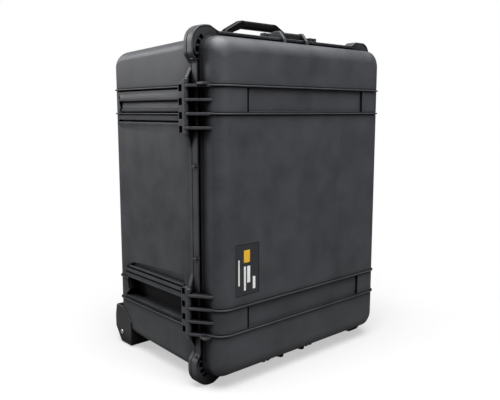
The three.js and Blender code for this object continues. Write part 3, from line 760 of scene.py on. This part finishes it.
# ---- Base shell ----
# The hinge wall's bands: (distance from mid height, how far the surface stands out from the wall)
UPPER_BAND = [
    (128, 0), (141, 0), (148.5, 1.8), (151.8, 1.4), (152.6, -4), (155.4, -4), (156, 0.2), (164.4, 0.6),
    (165, -6), (166.7, -6), (167, 2.4), (168.9, 2.4), (169.3, -6), (171.2, -6), (172, -0.4), (176, -0.2),
    (177.4, -3), (191.4, -5), (192.2, 1.4), (197, 2), (204.6, 0.6), (210, 0.4), (210.4, -6), (213, -6),
    (213.4, 0),
]
LOWER_BAND = [
    (118, 0), (126, -0.4), (134.8, -2.8), (137.2, -2.8), (137.8, 1.6), (141.6, 1.8), (142.2, -4),
    (144.6, -4), (145.4, 2.8), (151.8, 3), (152.4, -4), (155.4, -4), (156.2, 0.4), (164.6, 1.2),
    (165.4, -15), (180, -22), (203.6, -22), (204.4, 2.8), (206.4, 1.6), (209.6, 0),
]
# The bands' extent on the wall, in (y, z): the far ends of their lines stagger.
UPPER_FIELD = [
    (40, 130), (236, 136), (259, 147), (258, 158), (248, 168), (256, 190), (250, 203), (259, 209),
    (259, 213.3), (40, 213.3),
]
LOWER_FIELD = [
    (40, -120), (214, -130), (240, -141), (252, -153), (248, -160), (238, -166), (234, -190), (252, -206),
    (240, -209.5), (40, -209.5),
]
BAND_DEPTH = 22  # of the deepest pocket


def hinge_side_bands():
    """Raised bodies to add to the hinge wall, and the air to cut from them along each band's profile."""
    face = -BASE["half_x"]
    lean = Matrix.Identity(4)
    lean[0][1] = BASE["taper_x"] / BASE["depth"]
    raised, air = [], []
    for profile, field, side in ((UPPER_BAND, UPPER_FIELD, 1), (LOWER_BAND, LOWER_FIELD, -1)):
        outline = [(face - out, side * z) for z, out in profile]
        outline += [(face - BAND_DEPTH, side * profile[-1][0]), (face - BAND_DEPTH, side * profile[0][0])]
        region = prism(rounded([(*corner, 2) for corner in field], 3), "x", -262, -180)
        raised.append(clip(tray(BASE, 3.2, 2), region))
        air.append(clip(moved(prism(rounded(outline), "y", 0, 262), lean), region))
    return raised, air


def hinge_barrel():
    """The base's share of a hinge: a barrel on a tapering web."""
    low, high = BARREL_Z
    barrel = rod("z", KNUCKLE_R, (HINGE_X, 0, 0), low, high, 1, 28)
    back = RIM_THICK + 15
    side = rounded([
        (0.8, low, 1), (back - 8, low, 4), (back, low + 4, 2), (back, high - 9, 2), (RIM_THICK, high, 4),
        (0.8, high, 1),
    ])
    web = prism(side, "x", HINGE_X, -BASE["half_x"] + 4, 1.2)
    lid_side = block((HINGE_X + 2, -BASE["half_x"]), (-7, GAP), (low - 2, high + 2), 0.1)
    return cut(fuse(barrel, web), lid_side)


def hinge_slots(z):
    """Room for a lid knuckle in the barrel, and a slot behind it through the boss."""
    reach = FIN_THICK / 2 + 0.4
    room = hinge_rod(KNUCKLE_R + 1, *about(z, reach))
    slot = block((HINGE_X - 8, -BASE["half_x"] - 4), (12.5, 21.5), (z - 8.8, z + reach), 0.8)
    return both_z(room) + both_z(slot)


WHEEL_CENTRE = (0, WHEEL_Y, WHEEL_Z)
WHEEL_SPAN = about(WHEEL_X, WHEEL_WIDTH / 2)


def wheel_rod(radius, low, high, edge=0.0):
    return rod("x", radius, WHEEL_CENTRE, low, high, edge, 48)


def band_rooms(wall):
    """Room for the hinge wall's pockets, with a wall about them."""
    inner = BAND_DEPTH + wall - BASE["half_x"]
    return both_z(block((-262, inner), (-5, 262 + wall), (150 - wall, 216 + wall)))


def base_inside():
    """The hollow of the base, less the walls round its pockets, channels and wheel wells."""
    finger_wall = block((BASE["half_x"] - 13, 260), (30, 86), about(SIDE_LATCH_Z, 29))
    notch_wall = block((-NOTCH_X - 6, NOTCH_X + 6), (NOTCH_Y - BASE_WALL, 300), (NOTCH_Z - 6, 300))
    rail_walls = both_x(block(about(RAIL_X, 29), (CHANNEL_FLOOR_Y - 5, 300), (-300, 300)))
    wells = both_x(wheel_rod(WHEEL_R + 8, WHEEL_SPAN[0] - 7, WHEEL_SPAN[1] + 7))
    keep = [*band_rooms(4), *both_z(finger_wall), notch_wall, *rail_walls, *wells]
    return cut(tray(BASE, -BASE_WALL, -20), *keep)


def handle_lugs():
    px, py = HANDLE_PIN
    outline = rounded([
        (-6, py - 15), (px + 1, py - 7, 5), (px + 6, py, 6), (px + 1, py + 7, 5), (-6, py + 15),
    ])
    walls = both_z(prism(outline, "z", HANDLE_HALF - 20, HANDLE_HALF - 13.4, 1.2))
    return [moved(wall, place) for wall in walls for place in HANDLES.values()]


def rim_pockets():
    """Pockets in the base's rim between the lid's knuckles, and a tapering one above them."""
    ends = (136, *sorted(FIN_Z), 228)
    pockets = []
    for low, high in zip(ends, ends[1:]):
        pockets += both_z(block(RIM_POCKET_X, (-1, RIM_THICK + 4), (low + 4, high - 4), 0.8))
    tapering = rounded([(-235.2, 222), (-228, 222), (-228, 241), (-229.2, 241), (-235.2, 229)])
    return pockets + both_z(prism(tapering, "y", -1, RIM_THICK - 1.5))


def base_bores():
    """Holes for the pins, the padlocks and the valve."""
    bores = [moved(pin_bore(LEVER_PIN, 40), place) for place in LATCHES.values()]
    bores += [moved(pin_bore(HANDLE_PIN, HANDLE_HALF), place) for place in HANDLES.values()]
    valve_bore = rod("x", VALVE_HOLE_R, (0, VALVE_Y, VALVE_Z), *about(BASE["half_x"], 30), 0)
    return [*bores, *hinge_bores(PIN_HOLE_R), *padlock_holes(), valve_bore]


def base_shell():
    raised, band_air = hinge_side_bands()
    rim = prism(rim_outline(HINGE_PLATE + HINGE_SIDE), "y", GAP, RIM_THICK, 1.4)
    outer = cut(ribbed(fuse(tray(BASE), *raised), BASE, 7), *band_air)
    outer = fuse(outer, rim, *both_z(hinge_barrel()))
    outer = fuse(outer, *latch_guards(GAP, 50), *handle_lugs())
    finger_room = block((BASE["half_x"] - 7, 260), (40, 76), about(SIDE_LATCH_Z, 24), 2.5)
    channel_z = (RAIL_Z[0] - 3, NOTCH_Z + 9)
    channels = both_x(block(about(RAIL_X, 24), (CHANNEL_FLOOR_Y, 300), channel_z, 1))
    notch = block((-NOTCH_X, NOTCH_X), (NOTCH_Y, 320), (NOTCH_Z, 330), 3)
    wells = both_x(wheel_rod(WHEEL_R + 2.4, WHEEL_SPAN[0] - 1.8, WHEEL_SPAN[1] + 1.8))
    slots = [slot for z in FIN_Z for slot in hinge_slots(z)]
    rooms = [*rim_pockets(), *both_z(finger_room), *channels, notch, *wells]
    return cut(cut(outer, base_inside()), *rooms, *base_bores(), *slots)


# ---- Latches ----
TOP_HOOK_OUT = 25  # the top latch's hook stands a little prouder over the lid than the others


def latch_lever():
    """A lip to pull, on two cheeks that hold both of the latch's pins."""
    cheek = rounded([
        (6.5, 17.5, 4), (15.5, 17.5, 4), (LATCH_OUT, 22, 3), (LATCH_OUT, LEVER_END_Y - 6),
        (LATCH_OUT - 3.5, LEVER_END_Y - 6, 1), (LATCH_OUT - 4, 44, 3), (12, 40, 3), (6.5, 28, 3),
    ], 4)
    lip = rounded([
        (LATCH_OUT - 4, 44), (LATCH_OUT, 44), (LATCH_OUT, LEVER_END_Y, 2.4),
        (LATCH_OUT - 5, LEVER_END_Y, 1.2), (LATCH_OUT - 5, LEVER_END_Y - 3, 1),
        (LATCH_OUT - 3, LEVER_END_Y - 5, 2),
    ], 4)
    cheeks = both_z(prism(cheek, "z", LATCH_HALF - 5, LATCH_HALF, 0.9))
    grooves = [block((LATCH_OUT - 0.9, 40), (y, y + 1.6), (-18, 18), 0.5) for y in (46.5, 49.5, 52.5)]
    body = fuse(prism(lip, "z", -LATCH_HALF, LATCH_HALF, 0.9), *cheeks)
    return cut(body, *grooves, pin_bore(LEVER_PIN, 40), pin_bore(HOOK_PIN, 40))


def latch_hook(out):
    """The link that clamps the lid's rim: its front stands out by the given amount."""
    half = LATCH_HALF - 5.5
    link = rounded([
        (HOOK_IN, -11, 1), (out - 2, -11, 2.5), (out, -8, 2), (out, 12, 3), (LATCH_OUT, 30, 3),
        (LATCH_OUT - 1.5, 36, 2), (HOOK_PIN[0] - 1, 38, 3), (11.5, 35, 2), (11.8, 31, 2), (HOOK_IN, 27, 2),
    ], 4)
    recess = block((out - 1.4, 40), (-3, 21), (-half + 5, half - 5), 1.2)
    return cut(prism(link, "z", -half, half, 0.9), recess, pin_bore(HOOK_PIN, 40))


def latches():
    lever_pin = rod("z", PIN_R, (*LEVER_PIN, 0), *about(0, GUARD_Z[1] - 0.5), 0.4)
    hook_pin = rod("z", PIN_R, (*HOOK_PIN, 0), *about(0, LATCH_HALF - 0.5), 0.4)
    for name, place in LATCHES.items():
        out = TOP_HOOK_OUT if name == "top" else LATCH_OUT
        show(f"latch_lever_{name}", moved(latch_lever(), place), HARD)
        show(f"latch_hook_{name}", moved(latch_hook(out), place), HARD)
        show(f"latch_lever_pin_{name}", moved(lever_pin, place), STEEL)
        show(f"latch_hook_pin_{name}", moved(hook_pin, place), STEEL)


# ---- Carry handles ----
def handle_bow():
    """A raised handle: splayed legs and a straight bar, cut down inside its grip."""
    top, low, eye, y = HANDLE_REACH, HANDLE_PIN[0] - 6, HANDLE_HALF, HANDLE_PIN[1]
    outside = [(low, eye, 5), (32, eye, 16), (top, 47, 18)]
    inside = [(low, eye - 13, 4), (26, eye - 13, 8), (top - 15.5, 44, 10)]
    corners = outside + [(x, -z, r) for x, z, r in outside[::-1]]
    corners += [(x, -z, r) for x, z, r in inside] + inside[::-1]
    bow = prism(rounded(corners, 5), "y", *about(y, HANDLE_THICK / 2), 3.2)
    core = block((top - 12, top - 3.5), about(y, 5), (-41, 41), 0.1)
    waist = cut(block((30, 60), about(y, 12), (-40, 40), 0.1), core)
    return cut(bow, waist, pin_bore(HANDLE_PIN, eye + 5))


def handle_grip():
    x, y = HANDLE_REACH - 7.75, HANDLE_PIN[1]
    outline = [p + Vector((x, y)) for p in rounded_box(7.75, HANDLE_THICK / 2 + 0.9, 5.5)]
    sleeve = prism(outline, "z", -39.5, 39.5, 1.8)
    core = block(about(x, 4.55), about(y, 5.3), (-45, 45), 0.1)
    ridges = [block((x - 9, x - 7.2), about(y, 12), about(z, 1), 0.4) for z in range(-32, 33, 8)]
    return cut(sleeve, core, *ridges)


def handles():
    bow, grip = handle_bow(), handle_grip()
    pin_point = Matrix.Translation((*HANDLE_PIN, 0))
    fold = pin_point @ Matrix.Rotation(math.pi / 2, 4, "Z") @ pin_point.inverted()
    pins = both_z(rod("z", PIN_R, (*HANDLE_PIN, 0), HANDLE_HALF - 19, HANDLE_HALF - 1, 0.4))
    for name, place in HANDLES.items():
        pose = place @ fold if name in FOLDED else place
        show(f"handle_{name}", moved(bow, pose), HANDLE)
        show(f"handle_grip_{name}", moved(grip, pose), GRIP)
        for letter, pin in zip("ab", pins):
            show(f"handle_pin_{name}_{letter}", moved(pin, place), STEEL)


# ---- Wheels ----
AXLE_R = 4
BEARING_R = 11
RIM_R = 19  # of the hub, under the tyre
TREAD_GROOVE = ((-1.2, 0), (-0.8, 1), (0.8, 1), (1.2, 0))  # (across, depth)


def wheel_bracket():
    outline = rounded([
        (232, -313, 2), (272, -313, 8), (294, -283, 10), (294, -258, 8), (289, -234, 3), (262, -234, 3),
        (232, -262, 3),
    ])
    body = prism(outline, "x", *BRACKET_X, 2.2)
    axle = wheel_rod(AXLE_R + 0.3, 150, 230)
    room = wheel_rod(WHEEL_R + 2, WHEEL_SPAN[0] - 1.5, WHEEL_SPAN[1] + 1.5)
    return cut(body, tray(BASE, 0.4, -20), room, axle)


def wheel_tyre():
    low, high = WHEEL_SPAN
    tread = [(low, 22.5), (low + 0.6, 24), (low + 2, WHEEL_R)]
    for i in range(1, 4):
        middle = low + WHEEL_WIDTH * i / 4
        tread += [(middle + across, WHEEL_R - depth) for across, depth in TREAD_GROOVE]
    tread += [(high - 2, WHEEL_R), (high - 0.6, 24), (high, 22.5), (high, RIM_R + 0.3), (low, RIM_R + 0.3)]
    return lathe(tread, "x", WHEEL_CENTRE, 64, closed=True)


def wheel_hub():
    low, high = WHEEL_SPAN
    drum = wheel_rod(RIM_R, low, high, 0.8)
    seat_r = BEARING_R + 0.3
    seats = [wheel_rod(seat_r, low - 1, low + 8.3), wheel_rod(seat_r, high - 8.3, high + 1)]
    windows = []
    for i in range(6):
        angle = math.pi / 3 * i
        where = (0, WHEEL_Y + 15 * math.cos(angle), WHEEL_Z + 15 * math.sin(angle))
        windows.append(rod("x", 2.4, where, high - 5, high + 1, 0, 16))
        windows.append(rod("x", 2.4, where, low - 1, low + 5, 0, 16))
    return cut(drum, *seats, *windows, wheel_rod(6, 150, 230))


def wheel_bearing():
    low = WHEEL_SPAN[0] + 1
    ring = [
        (0, AXLE_R + 0.3), (0, 6), (0.7, 6.3), (0.7, 9), (0, 9.3), (0, BEARING_R - 0.3), (0.3, BEARING_R),
        (6.7, BEARING_R), (7, BEARING_R - 0.3), (7, AXLE_R + 0.3),
    ]
    profile = [(low + along, radius) for along, radius in ring]
    return lathe(profile, "x", WHEEL_CENTRE, 40, closed=True)


def wheel_axle():
    low, high = BRACKET_X
    bolt = [
        (low + 1, AXLE_R - 0.4), (low + 1.4, AXLE_R), (high + 0.4, AXLE_R), (high + 0.4, 4.6),
        (high + 0.7, 4.9), (high + 1.5, 4.6), (high + 2.3, 3.4), (high + 2.6, 1.6), (high + 2.6, 0.2),
    ]
    return lathe(bolt, "x", WHEEL_CENTRE, 40)


def wheels():
    bearing = wheel_bearing()
    across = Matrix.Translation((2 * WHEEL_X, 0, 0)) @ MIRROR_X
    parts = {
        "wheel_bracket": (wheel_bracket(), HARD),
        "wheel_hub": (wheel_hub(), HARD),
        "wheel_tyre": (wheel_tyre(), TYRE),
        "wheel_bearing_inner": (bearing, STEEL),
        "wheel_bearing_outer": (moved(bearing, across), STEEL),
        "wheel_axle": (wheel_axle(), STEEL),
    }
    for name, (mesh, material) in parts.items():
        show(f"{name}_right", mesh, material)
        show(f"{name}_left", moved(mesh, MIRROR_X), material)


# ---- Trolley ----
LEG_WIDE, LEG_THICK = 32, 8
LEG_MID_Y = CHANNEL_FLOOR_Y + 0.4 + 7.5


def rail():
    outer = block(about(RAIL_X, 23), (CHANNEL_FLOOR_Y + 0.4, CHANNEL_FLOOR_Y + 15.4), RAIL_Z, 1)
    bore_x, bore_y = about(RAIL_X, LEG_WIDE / 2 + 0.4), about(LEG_MID_Y, LEG_THICK / 2 + 0.4)
    bore = block(bore_x, bore_y, (RAIL_Z[0] - 5, RAIL_Z[1] + 5), 0.8)
    slots = [
        block(about(RAIL_X, 3), (CHANNEL_FLOOR_Y + 13, 300), (z, z + 60), 1)
        for z in range(-220, 180, 80)
    ]
    return cut(outer, bore, *slots)


def button_well(grow, low):
    """The release button's outline, grown all round, from a height up."""
    return block(about(0, 14 + grow), about(BAR_Y, 5 + grow), (low, BAR_Z + 40), 1.5)


def trolley_frame():
    leg_y, leg_z = about(LEG_MID_Y, LEG_THICK / 2), (RAIL_Z[0] + 15, BAR_Z)
    legs = both_x(block(about(RAIL_X, LEG_WIDE / 2), leg_y, leg_z, 1.2))
    bar = block((-124, 124), about(BAR_Y, 8), about(BAR_Z, 8), 3)
    return cut(fuse(bar, *legs), button_well(0.4, BAR_Z + 2))


def trolley_grip():
    outline = [p + Vector((BAR_Y, BAR_Z)) for p in rounded_box(12, 12, 6.5)]
    sleeve = prism(outline, "x", -86, 86, 2.5)
    core = block((-200, 200), about(BAR_Y, 8.3), about(BAR_Z, 8.3), 0.1)
    grooves = [
        block(about(x, 1), (BAR_Y + 11, BAR_Y + 20), about(BAR_Z, 9), 0.5)
        for x in range(-76, 77, 8)
    ]
    return cut(sleeve, core, button_well(0.4, BAR_Z + 2), *grooves)


def trolley():
    button = clip(button_well(0, BAR_Z + 7), block((-50, 50), (200, 300), (0, BAR_Z + 15), 1))
    show("trolley_frame", trolley_frame(), HARD)
    show("trolley_grip", trolley_grip(), GRIP)
    show("trolley_release_button", button, HARD)
    for side, mesh in zip(("right", "left"), both_x(rail())):
        show(f"trolley_rail_{side}", mesh, HARD)


# ---- Valve, padlock plates, pins and label ----
def small_hardware():
    face = BASE["half_x"] - BASE["taper_x"] * VALVE_Y / BASE["depth"] + 0.6
    centre = (face, VALVE_Y, VALVE_Z)
    cap = [
        (-14, 7.5), (-13.5, 8), (2.4, 8), (2.4, 12.6), (2.8, 13), (6, 13), (7, 12), (7, 9), (5.6, 8.4),
        (5.6, 0.5),
    ]
    slot = block((face + 4.4, face + 9), about(VALVE_Y, 6), about(VALVE_Z, 1.2), 0.4)
    show("pressure_valve", cut(lathe(cap, "x", centre, 48), slot), HARD)
    ring = [(0.4, VALVE_HOLE_R), (0.4, 11.6), (0.8, 12), (1.6, 12), (2, 11.6), (2, VALVE_HOLE_R)]
    show("pressure_valve_seal", lathe(ring, "x", centre, 48, closed=True), SEAL)
    plate_x = (LID["half_x"] + 1.5, RIM_X - 0.5)
    plate = block(plate_x, (LIP_Y - 2, LIP_Y - 0.3), about(PADLOCK_Z, 13), 0.5)
    plates = both_z(cut(plate, padlock_holes()[0]))
    pins = both_z(rod("z", PIN_R, (HINGE_X, 0, 0), BARREL_Z[0] + 0.5, BARREL_Z[1] - 0.5, 0.4))
    for where, plate, pin in zip(("upper", "lower"), plates, pins):
        show(f"padlock_plate_{where}", plate, STEEL)
        show(f"hinge_pin_{where}", pin, STEEL)


# The badge's printed shapes, in (x, z)
LABEL_TAB = ((-164, -150), (-90, -68))
LABEL_BARS = [
    ((-177, -174), (-130, -84)),
    ((-164, -159.5), (-140, -97)),
    ((-156.5, -149.5), (-127, -97)),
    ((-143, -137), (-140, -118)),
]


def name_label():
    """A dark badge with plain bars and a plain amber tab in place of any name."""
    x, z = [(low + LABEL_GAP, high - LABEL_GAP) for low, high in (LABEL_X, LABEL_Z)]
    floor_y = LABEL_SINK - LID["depth"]
    top = floor_y - 1.3
    print_y = (top - 0.25, top + 0.4)
    show("name_label", block(x, (top, floor_y - 0.3), z, 0.4), LABEL_BLACK)
    for i, (x, z) in enumerate(LABEL_BARS):
        show("name_label", block(x, print_y, z, 0.1), LABEL_WHITE, f"_bar_{i}")
    x, z = LABEL_TAB
    show("name_label", block(x, print_y, z, 0.1), LABEL_AMBER, "_tab")


# ---- Foam ----
FOAM_FACE_Y = 6  # the base foam's open face
# Each bay's x, z, corner radius and depth
TELESCOPE_BAY = ((-92, 92), (-210, 210), 14, 190)
ACCESSORY_BAYS = [
    ((112, 178), (40, 190), 8, 90),
    ((112, 178), (-190, 20), 8, 90),
    ((-178, -112), (-150, 150), 8, 90),
]
EGG_PITCH = 40
EGG_DEPTH = 16
FOAM_CELL = 4.5  # spacing of the foam's skin, which also sets how soft its edges are
FOAM_WAVES = ((1 / 130, 1.1), (1 / 30, 0.45))  # (waves per millimetre, height) of its uneven surface


def uneven(mesh):
    """Moves every point in or out a little, so that no foam face is quite flat."""
    mesh.update()
    outward = [vertex.normal.copy() for vertex in mesh.vertices]
    for vertex, normal in zip(mesh.vertices, outward):
        rise = sum(height * noise.noise(vertex.co * waves) for waves, height in FOAM_WAVES)
        vertex.co += normal * rise
    return mesh


def soften(mesh):
    """Rebuilds a body with an even skin and eases its edges, as cut foam relaxes."""
    body = in_scene("body", mesh)
    skin = body.modifiers.new("skin", "REMESH")
    skin.mode = "VOXEL"
    skin.voxel_size = FOAM_CELL
    ease = body.modifiers.new("ease", "SMOOTH")
    ease.factor = 0.5
    ease.iterations = 5
    return applied(body)


def foam_bay(x, z, corner, depth):
    middle = Vector(((x[0] + x[1]) / 2, (z[0] + z[1]) / 2))
    outline = rounded_box((x[1] - x[0]) / 2, (z[1] - z[0]) / 2, corner)
    return prism([p + middle for p in outline], "y", -6, FOAM_FACE_Y + depth)


def base_foam():
    inside = block((-202, 202), (FOAM_FACE_Y, 257), (-280, 280), 4)
    body = clip(tray(BASE, -BASE_WALL - 3, FOAM_FACE_Y), inside)
    bays = [foam_bay(*bay) for bay in (TELESCOPE_BAY, *ACCESSORY_BAYS)]
    wells = both_x(wheel_rod(WHEEL_R + 10, WHEEL_SPAN[0] - 9, WHEEL_SPAN[1] + 9))
    return uneven(soften(cut(body, *bays, *wells, *band_rooms(6))))


def lid_foam():
    """Convoluted foam: rows of soft peaks towards the base."""
    half_x, half_z, step = 212, 284, 5
    xs = [-half_x + i * step for i in range(2 * half_x // step + 1)]
    zs = [-half_z + i * step for i in range(2 * half_z // step + 1)]
    wave = 2 * math.pi / EGG_PITCH
    rings = []
    for z in zs:
        front = [(x, -6 - EGG_DEPTH / 2 * (1 - math.sin(wave * x) * math.sin(wave * z)), z) for x in xs]
        rings.append(front + [(xs[-1], -70, z), (xs[0], -70, z)])
    crate = loft(rings)
    crate = clip(crate, lid_tray(-LID_WALL - 3, -50), block((-205, 205), (-80, -2), (-275, 275), 6))
    return uneven(crate)


show("lid_shell", lid_shell(), SHELL)
show("base_shell", base_shell(), SHELL)
show("lid_gasket", gasket(), SEAL)
name_label()
latches()
handles()
wheels()
trolley()
small_hardware()
show("base_foam", base_foam(), FOAM)
show("lid_foam", lid_foam(), FOAM)


# ---- Stage, light and camera ----
CLEAR_FLOOR = (0.3, 0.75)  # distances between which the floor turns from a lit surface to plain white
FLOOR_TONE = 0.44  # the lit floor as the camera sees it
FLOOR_BOUNCE = 0.25  # how much light the floor throws back at the case
FLOOR_HALF = 30


def stage_material():
    """White paper: lit and shadowed near the case, an even white further out."""
    material, tree, shader = node_tree("stage")
    seen = node(tree, "LightPath").outputs["Is Camera Ray"]
    paper = remap(tree, seen, FLOOR_BOUNCE, FLOOR_TONE)
    feed(tree, shader, Base_Color=paper, Roughness=0.9, Specular_IOR_Level=0.1)
    glow = node(tree, "Emission", Strength=remap(tree, seen, FLOOR_BOUNCE, 1))
    distance = node(tree, "VectorMath")
    distance.operation = "LENGTH"
    plug(tree, distance.inputs[0], node(tree, "TexCoord").outputs["Object"])
    clear = remap(tree, distance.outputs["Value"], 0.5, 1, *CLEAR_FLOOR)
    mix = node(tree, "MixShader")
    for socket, value in zip(mix.inputs, (clear, shader.outputs[0], glow.outputs[0])):
        plug(tree, socket, value)
    feed(tree, tree.nodes["Material Output"], Surface=mix.outputs[0])
    return material


def floor():
    corners = [(FLOOR_HALF * x, FLOOR_HALF * y, 0) for x, y in ((-1, -1), (1, -1), (1, 1), (-1, 1))]
    mesh = mesh_from(corners, [(0, 1, 2, 3)])
    mesh.materials.append(stage_material())
    in_scene("floor", mesh)


def area_light(name, place, target, size, watts):
    light = bpy.data.lights.new(name, "AREA")
    light.size = size
    light.energy = watts
    made = in_scene(name, light)
    made.location = place
    made.rotation_euler = (Vector(target) - Vector(place)).to_track_quat("-Z", "Y").to_euler()


CAMERA_PLACE = (-0.8445, -0.9455, 0.4857)
CAMERA_YAW = math.radians(42.01)
CAMERA_PITCH = math.radians(-8.27)
CAMERA_LENS = 43.5
SENSOR_WIDTH = 36


def camera():
    data = bpy.data.cameras.new("camera")
    data.lens = CAMERA_LENS
    data.sensor_width = SENSOR_WIDTH
    made = in_scene("camera", data)
    made.location = CAMERA_PLACE
    made.rotation_euler = (math.pi / 2 + CAMERA_PITCH, 0, -CAMERA_YAW)
    bpy.context.scene.camera = made


ROOM_LIGHT = 0.13


def world():
    """A white backdrop for the camera, and a dim even light for everything else."""
    made = bpy.data.worlds.new("studio")
    made.use_nodes = True
    tree = made.node_tree
    seen = node(tree, "LightPath").outputs["Is Camera Ray"]
    feed(tree, tree.nodes["Background"], Color=(1, 1, 1, 1), Strength=remap(tree, seen, ROOM_LIGHT, 1))
    bpy.context.scene.world = made
    bpy.context.scene.view_settings.view_transform = "Standard"


floor()
world()
camera()
area_light("overhead", place=(-0.3, -0.5, 2.4), target=(0, 0, 0), size=2.2, watts=180)
area_light("left", place=(-1.4, 1.9, 1.5), target=(-0.2, 0, 0.45), size=1.0, watts=45)
area_light("front", place=(0.3, -2.8, 1.9), target=(0, 0, 0.35), size=1.6, watts=17)
